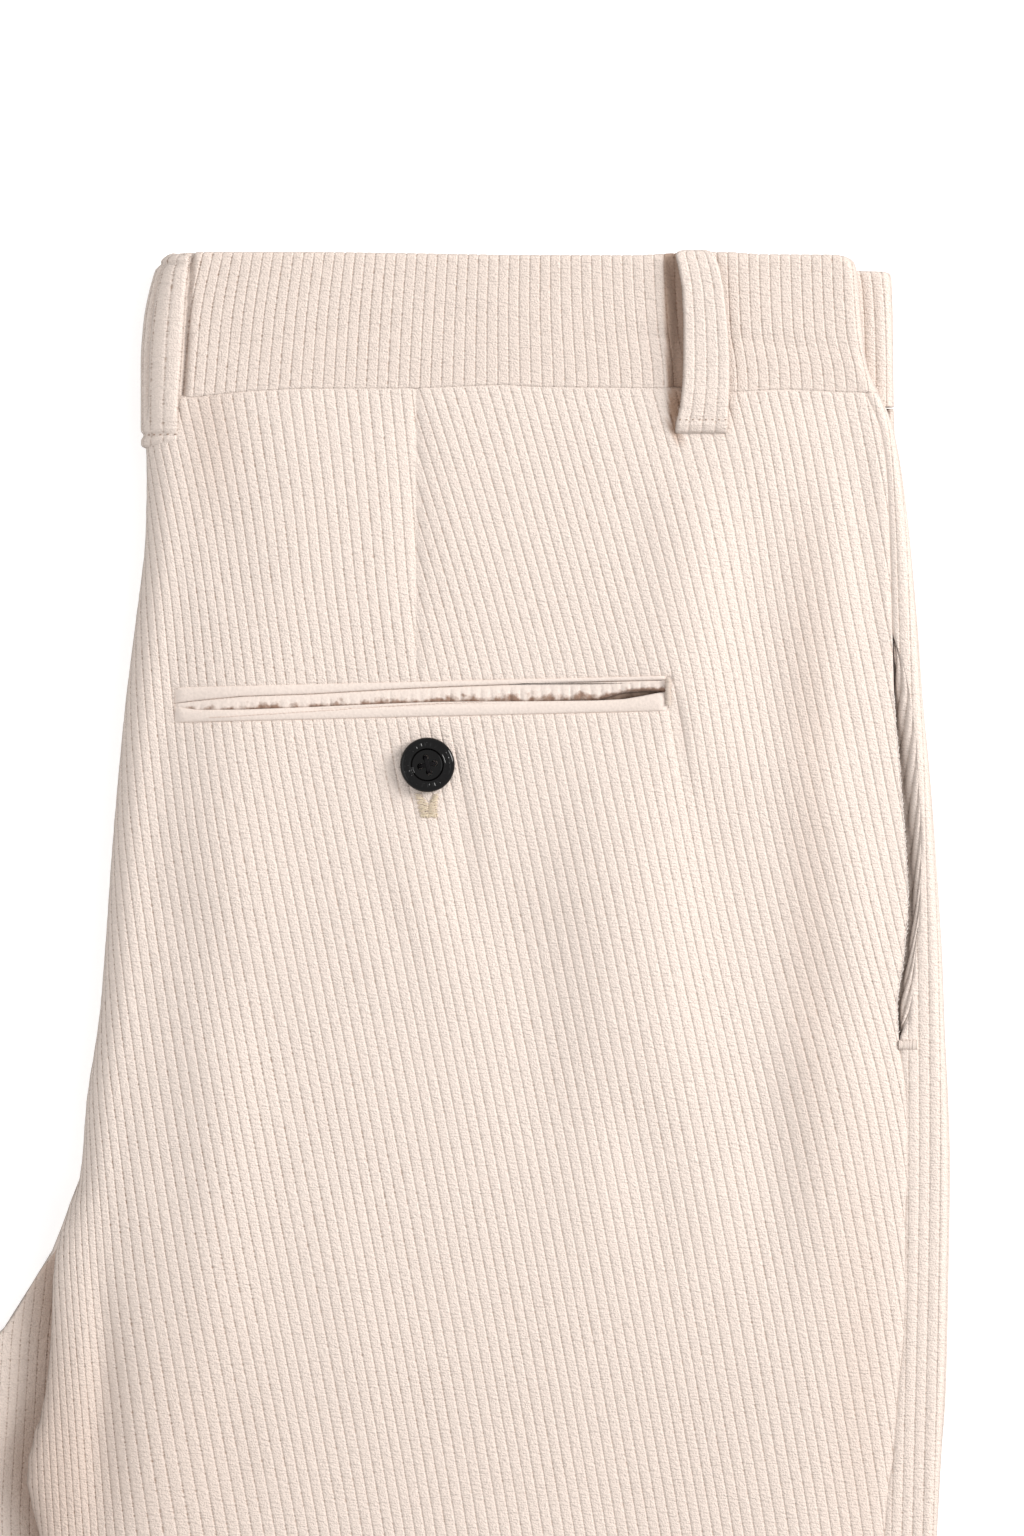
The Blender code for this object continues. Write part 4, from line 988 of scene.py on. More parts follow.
frontPanel = {
    "wales": (34, 68),
    "underWale": 5.0,      # how far under the fold its wales go on
    "backShare": 0.791,
    "lap": 1.3,            # how far it goes under the back panel where the two are sewn
    "lapTuck": 1.0,
    "lapFrom": (-1.0, 0.7),
    "topTips": 1.8,
    "mouthTips": 1.2,
    "mouthDips": (0.12, 0.2),
}
frontSlopes = {"across": (0, 200), "rows": {
    40: (0.16, 0.16), 64: (0.06, 0.06), 90: (0.03, 0.03), 200: (0.02, 0.02), 300: (-0.02, -0.02),
    520: (-0.03, -0.03), 1060: (-0.02, -0.02)}}


def frontEdge(down):
    return sizeAt("mouth", down) - frontPanel["lap"] * sewnSide(down, sideSeam["frontOpens"])


def turnedUnder(down, depth, more):
    # round the side fold, and so far on beneath it
    return upperRange(down)[1] + sideFoldLength(down, depth) + more


def frontUnder(down):
    return turnedUnder(down, garment["innerDepth"], frontPanel["underWale"])


def frontBack(down):
    low, high = upperRange(down)
    end = mix(low, sizeAt("seam", down), frontPanel["backShare"])
    return frontUnder(down) - frontPanel["underWale"] + high - end


def frontLift(block, t, down):
    toMouth = t - sizeAt("mouth", down)
    toTop = down - garment["panelTop"]
    if "plain" in block:
        return -cloth["sink"] * cloth["rib"] - tuckAtTop(toTop)
    sewn = sewnSide(down, sideSeam["frontOpens"])
    tips = ease(toTop / frontPanel["topTips"])
    tips = tips * mix(1.0, ease(toMouth / frontPanel["mouthTips"]), sewn)
    height = waleLift(block["wale"], tips) + dip(toTop, topSeam["dip"], topSeam["width"])
    lapped = 1.0 - past(toMouth, *frontPanel["lapFrom"])
    tuck = tuckAtTop(toTop) + frontPanel["lapTuck"] * sewn * lapped
    return height - tuck + dip(toMouth, mix(*frontPanel["mouthDips"], sewn), 0.9)


legLevels = ([38.7, 39.2, 39.6, 40.0, 40.8, 42.6, 46.0] + spread(51.0, 440.0, 7.0)
             + spread(455.0, 1020.0, 16.0)
             + [1024.0, 1026.4, 1027.2, 1028.0, 1030.5, 1040.0, 1051.0, 1053.4, 1055.0])
frontBlocks = [
    waleBlock(legLevels, *frontPanel["wales"], 4, 300.0, frontSlopes, frontEdge, frontUnder),
    plainBlock(legLevels, 16, frontUnder, frontBack),
]
rightFrontPanel = dress(
    sewSheet("rightFrontPanel", frontBlocks, panelPlace, 1, cloth["panelWall"], frontLift),
    "right_front_panel")
print("sewed the right front panel")

# belt loops; the waistband is pressed in beside the one at the centre back
loop = {
    "width": 12.0,        # four wales
    "perWale": 8,
    "arch": 0.9,
    "end": 5.0,
    "rest": 0.5,
    "topRest": 1.0,
    "sunk": 1.5,          # how far its sewn end is pressed into the cloth
    "sideRound": 0.9,
    "endRound": 1.3,
    "sideOutline": np.array([
        (0.0, 73.6, 80.6), (0.5, 72.4, 82.2), (1.3, 71.8, 83.2), (5.0, 72.6, 84.4),
        (11.0, 73.6, 85.6), (20.0, 74.0, 86.6), (30.0, 74.0, 87.3), (38.0, 73.8, 87.3),
        (45.0, 73.0, 87.0), (49.0, 72.0, 86.9), (52.6, 71.6, 86.9)]),
    "sideBottom": 52.6,
    "sideStitch": 48.6,
    "backBottom": 56.3,
    "backStitch": 52.6,
    "backEndDown": (0.0, 5.0, 14.0, 30.0, 44.0, 56.3),
    "backEndX": (-67.2, -67.4, -68.2, -69.2, -70.2, -70.4),
    # the strip of painted shadow beside the side loop: its downs, its left edge, and how dark it is
    "slotDown": (0.0, 6.0, 14.0, 30.0, 38.0, 44.0, 52.0),
    "slotLeft": (68.4, 68.5, 68.6, 69.2, 69.5, 69.7, 70.4),
    "slotShade": (0.75, 0.75, 0.75, 0.75, 0.8, 1.0, 1.0),
    "backWall": 1.0,
    "backStart": math.radians(184.0),
    "backFold": 3.2,      # where it folds over the top of the waistband
    "backFoldDip": (0.9, 0.6),
    "backGroove": (4.6, 1.6, 0.55),
    "grooveFrom": (2.0, 4.0),
    "grooveTo": (50.0, 8.0),
    "backPressed": 0.6,
    "backGap": 0.4,
    "backDip": 0.8,       # how deep the stitches press in, and how wide
    "sideDip": 0.35,
    "stitchWidth": 0.8,
    "rowBow": (1.1, 6.0),      # how its top rows bow, and down to where
}

band = {
    "perWale": 6,
    "wales": (-36, 52),
    "topRound": 1.5,
    "bottomRound": 0.22,
    # a soft crease along it: where it lies and how deep it is
    "creaseAcross": (-70, -50, -35, -7, 6, 18, 40, 50, 68, 88, 105, 125),
    "creaseDown": (27.2, 26.6, 25.0, 21.2, 19.4, 19.0, 26.0, 25.7, 23.4, 24.9, 26.6, 28.0),
    "creaseDepth": (0.15, 0.4, 0.55, 0.8, 0.85, 0.15, 0.15, 0.7, 0.8, 0.7, 0.65, 0.3),
    "creaseWidth": 1.3,
    # a second one higher up: its level, depth and width, and where it begins and ends
    "upperDown": 10.6,
    "upperDip": (0.35, 2.2),
    "upperFrom": (18.0, 10.0),
    "upperTo": (54.0, 12.0),
    "backLoopDip": (0.7, 1.2, 0.8),   # how far from each loop, how deep and how wide
    "sideLoopDip": (-1.4, 1.9, 1.9),
    "sideLoopFrom": (1.0, 4.0),
    "tips": (-0.3, 1.1),
    "scallop": 0.4,
    "lowerScallop": 0.5,
    "lowerShare": 0.75,
    "turn": 4.0,          # how far the wales go on under its side fold
    "leftTurn": 26.0,
}
bandSlopes = {
    "across": (-95, -67, -52, -38, -24, -10, 5, 19, 33, 47, 62, 90, 105, 119, 133),
    "rows": {
        1: (-0.2, -0.26, -0.17, -0.14, -0.11, -0.08, -0.06, -0.04, -0.01, 0.02, 0.03,
            0.02, 0.02, 0.03, 0.03),
        10: (-0.2, -0.24, -0.17, -0.14, -0.11, -0.08, -0.06, -0.03, -0.01, 0.03, 0.05,
             0.03, 0.03, 0.04, 0.04),
        22: (-0.1, -0.10, -0.11, -0.10, -0.07, -0.06, -0.05, 0.0, 0.03, 0.08, 0.10,
             0.06, 0.06, 0.08, 0.08),
        26: (-0.1, -0.10, -0.11, -0.09, -0.06, -0.05, -0.05, 0.0, 0.03, 0.09, 0.14,
             0.22, 0.24, 0.26, 0.26),
        31: (-0.1, -0.10, -0.10, -0.08, -0.06, -0.05, -0.04, 0.0, 0.03, 0.08, 0.12,
             0.16, 0.18, 0.28, 0.30),
        34: (-0.1, -0.10, -0.10, -0.08, -0.06, -0.05, -0.03, 0.0, 0.03, 0.06, 0.08,
             0.06, 0.08, 0.14, 0.16),
        40: (-0.1, -0.08, -0.08, -0.07, -0.05, -0.04, -0.02, 0.0, 0.02, 0.04, 0.05,
             0.02, 0.03, 0.06, 0.10),
    },
}


def edgeRound(distance, radius):
    # how far a rounded edge falls away near its end
    near = np.clip(1.0 - distance / radius, 0.0, 1.0)
    return -radius * (1.0 - np.sqrt(1.0 - near ** 2))


def bandPlace(t, down):
    return rightHalf(t, down, garment["bandDepth"])


def bandLow(down):
    return upperRange(down)[0] - backFoldLength(down, quarterTurn)


def bandTurn(down):
    return turnedUnder(down, garment["bandDepth"], band["turn"])


def bandEnd(down):
    low, high = upperRange(down)
    return bandTurn(down) - band["turn"] + (high - low)


def bandRolls(down):
    rolls = edgeRound(down - garment["bandTop"], band["topRound"])
    return rolls + edgeRound(garment["bandBottom"] - down, band["bottomRound"])


def outlineAt(down, side):
    # the side loop's left edge, or its right one
    return np.interp(down, loop["sideOutline"][:, 0], loop["sideOutline"][:, side])


def backLoopEnd(down):
    return np.interp(down, loop["backEndDown"], loop["backEndX"])


def bandLift(block, t, down):
    rolls = bandRolls(down)
    if "plain" in block:
        return rolls - cloth["sink"] * cloth["rib"]
    lies = np.interp(t, band["creaseAcross"], band["creaseDown"])
    depth = np.interp(t, band["creaseAcross"], band["creaseDepth"])
    crease = dip(down - lies, 1.0, band["creaseWidth"]) * depth
    start, end, over = band["upperFrom"], *band["upperTo"]
    upper = dip(down - band["upperDown"], *band["upperDip"])
    crease = crease + upper * past(t, *start) * ease((end - t) / over)
    away, *size = band["backLoopDip"]
    crease = crease + dip(t - backLoopEnd(down) - away, *size)
    away, *size = band["sideLoopDip"]
    beside = dip(t - outlineAt(down, 1) - away, *size)
    crease = crease + beside * past(down, *band["sideLoopFrom"])
    tips = past(garment["bandBottom"] - down, *band["tips"])
    return rolls + crease + waleLift(block["wale"], tips)


bandLevels = ([0.2, 0.45, 0.8, 1.4, 2.4, 4.2] + spread(6.0, 22.0, 3.2)
              + spread(24.0, 35.0, 1.8) + [36.8, 37.8, 38.4, 38.8, 39.1, 39.3, 39.4])
bandBlock = waleBlock(bandLevels, *band["wales"], band["perWale"], 12.0, bandSlopes,
                      bandLow, bandTurn)
# both its edges follow the wales a little
shares = np.array([1.0, 0.8, 0.5])[:, None]
bandBlock["down"][:3] += shares * band["scallop"] * (1.0 - waleShape(bandBlock["wale"][:3]))
bandBlock["down"][-3:] += (shares[::-1] * band["lowerScallop"]
                           * (waleShape(bandBlock["wale"][-3:]) - band["lowerShare"]))
rightWaistband = dress(
    sewSheet("rightWaistband", [bandBlock, plainBlock(bandLevels, 20, bandTurn, bandEnd)],
             bandPlace, 1, cloth["bandWall"], bandLift),
    "right_waistband")


def loopShadow(x, down):
    # painted shadow on the strip beside the side loop's left edge and just under it
    left = np.interp(down, loop["slotDown"], loop["slotLeft"])
    darkness = np.interp(down, loop["slotDown"], loop["slotShade"])
    inside = ease(x - left + 0.5) * ease((outlineAt(down, 1) + 1.2 - x) / 0.6)
    return darkness * inside * ease(down) * ease(loop["slotDown"][-1] - down)


def shadePatches(x, down):
    # painted shade: over the lower panels, in broad patches, and beside the side loop
    amount = cloth["paintedShade"] * past(down, *cloth["paintedShadeFrom"])
    for acrossAt, downAt, across, along, much in cloth["shadePatches"]:
        apart = -((x - acrossAt) / across) ** 2 - ((down - downAt) / along) ** 2
        amount = amount + much * np.exp(apart)
    return np.clip(amount + loopShadow(x, down), 0.0, 1.0)


# painted shade on the waistband and on the back and front panels
paintShade(rightWaistband, lambda x, down: np.clip(cloth["paintedShade"] + loopShadow(x, down), 0.0, 1.0))
paintShade(rightBackPanel, shadePatches)
paintShade(rightFrontPanel, shadePatches)
print("sewed the right half of the waistband")

# The left half, folded beneath


def underTop(x, down, depth):
    # how high the left half may come up under the right one
    return underside(x, down, depth) - garment["clearance"]


def leftHalf(t, down, banded):
    # t is x on the flat underside, and the length of cloth beyond both turned edges
    reach = leftReach(down)
    low = sizeAt("leftIn", down) + reach
    edge = garment["sideFoldReach"] if banded else garment["leftEdgeReach"]
    high = sizeAt("leftOut", down) - edge
    t, low, high, reach, down = [
        np.array(v) for v in np.broadcast_arrays(t, low, high, reach, down)]
    x = np.clip(t, low, high)
    height = np.zeros(x.shape)
    inner = t < low
    if inner.any():
        lip = leftLip(down[inner])
        angle = roundEllipse(low[inner] - t[inner], reach[inner], lip, lip)
        x[inner] = low[inner] - reach[inner] * np.sin(angle)
        height[inner] = lip * (1.0 - np.cos(angle))
    outer = t > high
    if outer.any() and banded:
        depth = garment["bandDepth"]
        half = 0.5 * underTop(high[outer], down[outer], depth)
        x[outer], angle, over, flat = roundSide(
            t[outer] - high[outer], high[outer], edge, half,
            lambda xs: underTop(xs, down[outer], depth))
        height[outer] = np.where(over, flat, half - half * np.cos(angle))
    elif outer.any():
        lip = garment["sideLip"]
        angle = roundEllipse(t[outer] - high[outer], edge, lip, lip)
        x[outer] = high[outer] + edge * np.sin(angle)
        height[outer] = lip * (1.0 - np.cos(angle))
    return point(x, down + leftDrop(x, down), height)


def leftLow(down):
    reach = leftReach(down)
    return sizeAt("leftIn", down) + reach - turnLength(reach, leftLip(down), quarterTurn)


def leftHigh(down):
    edge = garment["leftEdgeReach"]
    return sizeAt("leftOut", down) - edge + turnLength(edge, garment["sideLip"], quarterTurn)


def leftLift(block, t, down):
    ends = np.minimum(down - garment["panelTop"], garment["leftHem"] - down)
    return waleLift(block["wale"], ease(ends / 2.0), 1.0)


leftSlopes = {"across": (-160, -90, 0, 100, 150), "rows": {
    40: (0.05, 0.05, 0.02, 0.0, 0.0), 160: (-0.10, -0.06, 0.04, 0.06, 0.05),
    320: (-0.12, -0.05, 0.08, 0.08, 0.02), 480: (0.10, 0.10, 0.08, 0.02, -0.02),
    1060: (0.05, 0.05, 0.03, 0.0, -0.01)}}
leftLevels = ([39.45, 40.8, 42.8, 46.0] + spread(54.0, 420.0, 11.0) + spread(440.0, 1028.0, 21.0)
              + [1029.0, 1031.0, 1040.0, 1050.0, 1057.0, 1060.0])
leftBlock = waleBlock(leftLevels, -58, 62, 3, 400.0, leftSlopes, leftLow, leftHigh)
dress(sewSheet("leftBackPanel", [leftBlock], lambda t, down: leftHalf(t, down, False), -1,
               cloth["panelWall"], leftLift),
      "left_back_panel")
print("sewed the left back panel")


def leftBandTurn(down):
    high = sizeAt("leftOut", down) - garment["sideFoldReach"]
    half = 0.5 * underTop(high, down, garment["bandDepth"])
    return high + turnLength(garment["sideFoldReach"], half) + band["leftTurn"]


def leftBandEnd(down):
    high = sizeAt("leftOut", down) - garment["sideFoldReach"]
    return leftBandTurn(down) - band["leftTurn"] + high - upperRange(down)[0]


def leftBandLift(block, t, down):
    if "plain" in block:
        return bandRolls(down) - cloth["rib"]
    return bandRolls(down) + waleLift(block["wale"], sink=1.0)


bandUpright = {"across": (-160, 160), "rows": {0: (0.0, 0.0), 40: (0.0, 0.0)}}
leftBandLevels = [0.2, 0.5, 1.1, 2.3, 6.0, 14.0, 22.0, 30.0, 36.0, 38.0, 38.6, 39.1]
leftBandBlocks = [
    waleBlock(leftBandLevels, -36, 66, 4, 20.0, bandUpright, leftLow, leftBandTurn),
    plainBlock(leftBandLevels, 16, leftBandTurn, leftBandEnd),
]
dress(sewSheet("leftWaistband", leftBandBlocks, lambda t, down: leftHalf(t, down, True), -1,
               cloth["bandWall"], leftBandLift),
      "left_waistband")
print("sewed the left half of the waistband")

hidden = {
    "base": 2.3,
    "belowBack": 2.65,
    "innerRounding": 6.0,
    "outerRounding": 3.2,
    "seatInset": 5.0,
    "seatGap": 0.4,
    "stepAt": 0.66,         # where its top steps down under the right front panel
    "step": 1.6,
    "lobe": 0.7,            # how far its edges draw in at the top, the middle and the bottom
    "lobeMiddle": 0.34,
    "edgeRows": 17,
    "columnStep": 0.75,
    "shown": 56.0,          # how far in from its inner edge the columns stand close
    "restBlend": 3.0,
    "shadowDip": 1.8,       # deeper where the near leg's rolled edge shades it
    "shadowWidth": 5.0,
    "pitch": 2.6,
    "leanDown": (250.0, 262.0, 312.0, 362.0, 420.0, 1060.0),
    "lean": (0.0, -1.2, -7.0, -9.8, -8.0, 0.0),
    "stepDown": 1055.0,
    "stepHeight": 5.1,
    # slots at the hem end part the layers: from height, to height, from down, to down
    "slots": ((7.3, 7.9, 1049.0, 1055.6), (3.4, 4.0, 1055.2, 1061.0)),
    # painted shade at the crotch: overall, beside the near leg's rolled edge, and the width of that
    "paintedShade": (0.08, 0.5, 8.0),
}


def hiddenRing(down):
    # round the folded layers: along their inner edge, over the top and down the outer edge
    low, high = upperRange(down)
    leg = past(down, *garment["crotch"])
    slant = 0.5 * (sizeAt("leftIn", down + 4.0) - sizeAt("leftIn", down - 4.0)) / 4.0
    inset = mix(hidden["seatInset"], garment["outerInset"] * math.hypot(1.0, slant), leg)
    first = sizeAt("leftIn", down) + inset
    last = sizeAt("leftOut", down) - garment["outerInset"]
    reach = mix(hidden["innerRounding"], hidden["outerRounding"], leg)
    full = edgeHeight(down) - hidden["belowBack"]
    peek = mix(full, rollBottom(down) - garment["clearance"], past(down, *garment["peekFrom"]))
    # its two edges are lobed like a stack of two folds
    rise = np.linspace(0.02, 0.98, hidden["edgeRows"])
    fromMiddle = np.abs(rise - 0.5)
    lobes = 1.0 - (4.0 * fromMiddle - 1.0) ** 2
    inward = hidden["lobe"] * (1.0 - np.sqrt(np.clip(lobes, 0, 1)))
    inward = np.where(fromMiddle < 0.02, hidden["lobeMiddle"], inward)
    overlap = np.where(rise > 0.5, inset - hidden["seatGap"], 0.0)
    edgeX = first + reach * inward - overlap * leg
    edgeZ = mix(hidden["base"], peek, rise)
    start = max(low, first + reach)
    stepAt = mix(start + 0.8, min(sizeAt("seam", down), last - 6.0), hidden["stepAt"])
    columns = spread(hidden["columnStep"], hidden["shown"], hidden["columnStep"])
    topX = first + reach + np.array(columns)
    count = len(topX)
    topX = topX[topX < min(stepAt - 1.0, start + 200.0)]
    overX = np.linspace(topX[-1], stepAt, 12)[1:]
    underX = np.linspace(stepAt + hidden["step"], last - hidden["outerRounding"], 14)
    if len(topX) < count:
        topX = np.linspace(topX[0], topX[-1], count)
    reached = past(topX, start - 0.01, hidden["restBlend"])
    topZ = mix(np.full(topX.shape, peek), skin(topX, down, False) - hidden["belowBack"], reached)
    shadow = bell(topX - sizeAt("rightIn", down), hidden["shadowWidth"])
    topZ = topZ - hidden["shadowDip"] * leg * shadow
    overZ = skin(overX, down, False) - hidden["belowBack"]
    underZ = underTop(underX, down, garment["innerDepth"])
    farX = last - hidden["outerRounding"] * inward[::-1]
    farZ = mix(hidden["base"], underTop(high, down, garment["innerDepth"]), rise[::-1])
    middle, foot = 0.5 * (first + last), [hidden["base"]] * 2
    x = np.concatenate([[middle, first + reach + 4.0], edgeX, topX, overX, underX, farX,
                        [last - 6.0, middle]])
    z = np.concatenate([foot, edgeZ, topZ, overZ, underZ, farZ, foot])
    if down > hidden["stepDown"] - 0.4:
        z = np.minimum(z, hidden["stepHeight"])
    lean = np.interp(down, hidden["leanDown"], hidden["lean"])
    return x, z, (x - lean) / hidden["pitch"]


def hiddenPlace(t, down):
    # t is the number of a point round the ring
    spots = np.empty(t.shape + (3,))
    for row in range(t.shape[0]):
        x, z, _ = hiddenRing(float(down[row, 0]))
        number = np.arange(len(x))
        x, z = [np.interp(t[row] % (len(x) - 1), number, part) for part in (x, z)]
        spots[row] = point(x, down[row] + leftDrop(x, down[row]), z)
    return spots


def hiddenLift(block, t, down):
    # smooth here: the finish alone draws these wales
    return np.zeros(t.shape)


hiddenLevels = ([39.6] + spread(60.0, 240.0, 30.0) + spread(252.0, 440.0, 5.0)
                + spread(460.0, 1040.0, 20.0) + [1050.0, 1054.4, 1054.8, 1057.0, 1059.2])
rings = np.array([hiddenRing(float(level))[2] for level in hiddenLevels])
numbers, downs = grid(hiddenLevels, range(rings.shape[1]))
hiddenLayers = sewSheet("hiddenLayers", [{"t": numbers, "down": downs, "wale": rings}],
                        hiddenPlace, 1, 0.0, hiddenLift)
for low, high, start, end in hidden["slots"]:
    bpy.ops.object.select_all(action="DESELECT")
    middle = point(np.array(14.0), np.array(0.5 * (start + end)), np.array(0.5 * (low + high)))
    bpy.ops.mesh.primitive_cube_add(size=1.0, location=(middle * mm).tolist(),
                                    scale=(0.4, (end - start) * mm, (high - low) * mm))
    blade = bpy.context.object
    bpy.ops.object.transform_apply(location=True, rotation=True, scale=True)
    cutAway(hiddenLayers, blade)


def hiddenShade(x, down):
    # painted shade where it shows at the crotch, most beside the near leg's rolled edge, which
    # shades it
    overall, beside, width = hidden["paintedShade"]
    near = bell(x - sizeAt("rightIn", down), width)
    return past(down, *garment["lipFades"]) * (overall + beside * near)


# painted shade on the hidden layers at the crotch
paintShade(hiddenLayers, hiddenShade)
dress(hiddenLayers, "hidden_layers")
print("folded the hidden layers")

# Belt loops, sewn

def loopHeight(down, bottom):
    # how far a loop stands off what it crosses: pressed down at both ends
    fromTop = past(down, loop["topRest"], loop["end"])
    toEnd = ease((bottom - loop["end"] - down) / loop["end"])
    sunk = loop["sunk"] * ease((down - bottom + 4.0) / 4.0)
    return loop["rest"] + loop["arch"] * fromTop * toEnd + cloth["loopWall"] - sunk


def sideLoopPlace(t, down):
    x = mix(outlineAt(down, 1), outlineAt(down, 2), t / loop["width"])
    base = skin(x, np.maximum(down, garment["bandTop"]), False)
    return point(x, down, base + loopHeight(down, loop["sideBottom"]))


def backLoopPlace(t, down):
    rowBow, rowFade = loop["rowBow"]
    down = down + rowBow * (t / loop["width"]) ** 2 * np.clip(1.0 - down / rowFade, 0.0, 1.0)
    lift = loopHeight(down, loop["backBottom"]) - cloth["loopWall"] + loop["backWall"]
    lift = lift - loop["backPressed"]
    side = loop["backWall"] + loop["backGap"]
    inner = sizeAt("rightIn", down) - side
    reach = garment["backFoldReach"] + side
    top = edgeHeight(down) + lift - garment["backFoldHeight"]
    end = np.arccos(np.clip((backLoopEnd(down) - inner) / reach - 1.0, -1.0, 1.0))
    angle = mix(loop["backStart"], end, t / loop["width"])
    rise = np.where(angle < quarterTurn, top, top * np.sin(angle))
    return point(inner + reach * (1.0 + np.cos(angle)), down, garment["backFoldHeight"] + rise)


def loopBlock(bottom):
    top, end = 3.0, bottom - 8.0
    levels = sorted(set(spread(0.0, top, 0.5) + spread(top, end, 2.0)
                        + spread(end, bottom, 0.5)))
    t, downs = grid(levels, np.linspace(0.0, loop["width"], 4 * loop["perWale"] + 1))
    return {"t": t, "down": downs, "wale": t / cloth["pitch"]}


def loopLift(block, t, down, bottom, stitchAt, stitchDepth):
    rolls = edgeRound(np.minimum(t, loop["width"] - t), loop["sideRound"])
    rolls = rolls + edgeRound(np.minimum(down, bottom - down), loop["endRound"])
    pressed = dip(down - stitchAt, stitchDepth, loop["stitchWidth"])
    return rolls + pressed + waleLift(block["wale"])


def sideLoopLift(block, t, down):
    return loopLift(block, t, down, loop["sideBottom"], loop["sideStitch"], loop["sideDip"])


def backLoopLift(block, t, down):
    # a fold near its top and one groove deeper than the rest
    lift = loopLift(block, t, down, loop["backBottom"], loop["backStitch"], loop["backDip"])
    lift = lift + dip(down - loop["backFold"], *loop["backFoldDip"])
    at, depth, width = loop["backGroove"]
    end, over = loop["grooveTo"]
    groove = dip(t - at, depth, width) * past(down, *loop["grooveFrom"])
    return lift + groove * ease((end - down) / over)


dress(sewSheet("sideBackLoop", [loopBlock(loop["sideBottom"])], sideLoopPlace, 1,
               cloth["loopWall"], sideLoopLift),
      "side_back_loop")
dress(sewSheet("centreBackLoop", [loopBlock(loop["backBottom"])], backLoopPlace, 1,
               loop["backWall"], backLoopLift),
      "centre_back_loop")
print("sewed the belt loops")

# Back pocket

welts = {
    "along": (-70.8, -64, -51, -31, -9, 4, 13, 34, 50, 58, 64, 68, 70.8),
    "line": (0.3, 1.0, 1.9, 2.1, 2.9, 3.2, 3.35, 3.6, 3.65, 3.7, 3.7, 3.7, 3.7),
    "flap": (-1.0, -2.3, -2.6, -2.3, -1.9, -1.7, -1.8, -2.2, -2.0, 0.2, 0.5, 0.3, 0.0),
    "slit": (-0.4, -1.6, -1.9, -1.6, -1.15, -1.0, -1.1, -1.5, -1.7, -1.5, -0.6, 0.1, 0.2),
    "top": 4.9,
    "bottom": -5.2,
    "ribPitch": 2.86,
    "sunk": -0.6,          # how far the strips' edges lie below the cloth
    "liningSunk": -2.3,
    "weltBase": 0.32,
    "upperArch": 0.5,
    "lowerArch": 0.75,
    "flapRibs": 0.6,
    "liningRibs": 0.35,
    "ends": (0.4, 2.2),    # where they are sewn down beyond the pocket's length, and over how much
    # the pressed fold in the lower welt: where it begins and ends, and its place, depth and width
    "foldFrom": (-34.0, 6.0),
    "foldTo": (26.0, 6.0),
    "foldDip": (0.75, 0.3, 0.22),
    "shows": 3.3,          # how wide the lower welt is
    "beyond": 1.4,         # how far the strips go on past the window, under the cloth
}


def pocketPlace(along, above, rise):
    cosine, sine = math.cos(pocket["tilt"]), math.sin(pocket["tilt"])
    x = pocket["x"] + along * cosine - above * sine
    down = pocket["down"] - along * sine - above * cosine
    return point(x, down, skin(x, down) + rise)


def edgeOf(along, name, moved=0.0):
    values = np.broadcast_to(welts[name], len(welts["along"]))
    return np.interp(along, welts["along"], values) + moved


def pocketStrip(name, node, lower, upper, rows, step, shape, material):
    # a strip with no wales between two edges; its UV map runs along it and down it
    half = 0.5 * pocket["length"] + welts["beyond"]
    along, level = grid(np.linspace(1.0, 0.0, rows + 1), spread(-half, half, step))
    down = 1.0 - level
    share = 1.0 - down
    above = mix(edgeOf(along, *lower), edgeOf(along, *upper), share)
    spots = pocketPlace(along, above, shape(along, share)).reshape(-1, 3)
    faces = np.stack(quadRing(np.arange(along.size).reshape(along.shape)), axis=-1)
    faces = faces.reshape(-1, 4)
    piece = newPiece(name, spots, faces.tolist(), material)
    uv = np.stack([along / cloth["pitch"], down], axis=-1).reshape(-1, 2)
    mapCloth(piece, uv[faces.reshape(-1)])
    giveWall(piece, cloth["trimWall"])
    piece.data.shade_smooth()
    return dress(piece, node)


def stripEnds(along):
    # 1 along the pocket, 0 at both its ends, where the strips are sewn down
    beyond, over = welts["ends"]
    return ease((0.5 * pocket["length"] + beyond - np.abs(along)) / over)


def arched(share):
    return np.sqrt(np.clip(1.0 - (2.0 * share - 1.0) ** 2, 0.0, 1.0))


def weltRibs(along, height):
    return height * (waleShape(along / welts["ribPitch"]) - 1.0)


def upperWeltShape(along, share):
    rise = welts["weltBase"] + welts["upperArch"] * arched(share)
    return welts["sunk"] + rise * stripEnds(along)


def flapShape(along, share):
    # ribbed at the inner end of the pocket, plain pile towards the outer end
    inner = mix(1.6, 3.0, ease((along + 5.0) / 25.0))
    ribs = weltRibs(along, welts["flapRibs"]) * ease(inner * (0.62 - 0.6 * share))
    low = (1.0 - ease(share / 0.25)) * 0.8
    return welts["sunk"] + (0.5 * arched(share) + 0.1 + ribs) * stripEnds(along) - low


def lowerWeltShape(along, share):
    end, over = welts["foldTo"]
    at, depth, width = welts["foldDip"]
    inFold = past(along, *welts["foldFrom"]) * ease((end - along) / over)
    fold = dip((1.0 - share) * welts["shows"] - at, depth, width) * inFold
    rise = welts["weltBase"] + welts["lowerArch"] * arched(share)
    return welts["sunk"] + rise * stripEnds(along) + fold


def liningShape(along, share):
    rise = 0.9 * ease(share) * ease((66.0 - along) / 20.0)
    return welts["liningSunk"] + weltRibs(along, welts["liningRibs"]) + rise


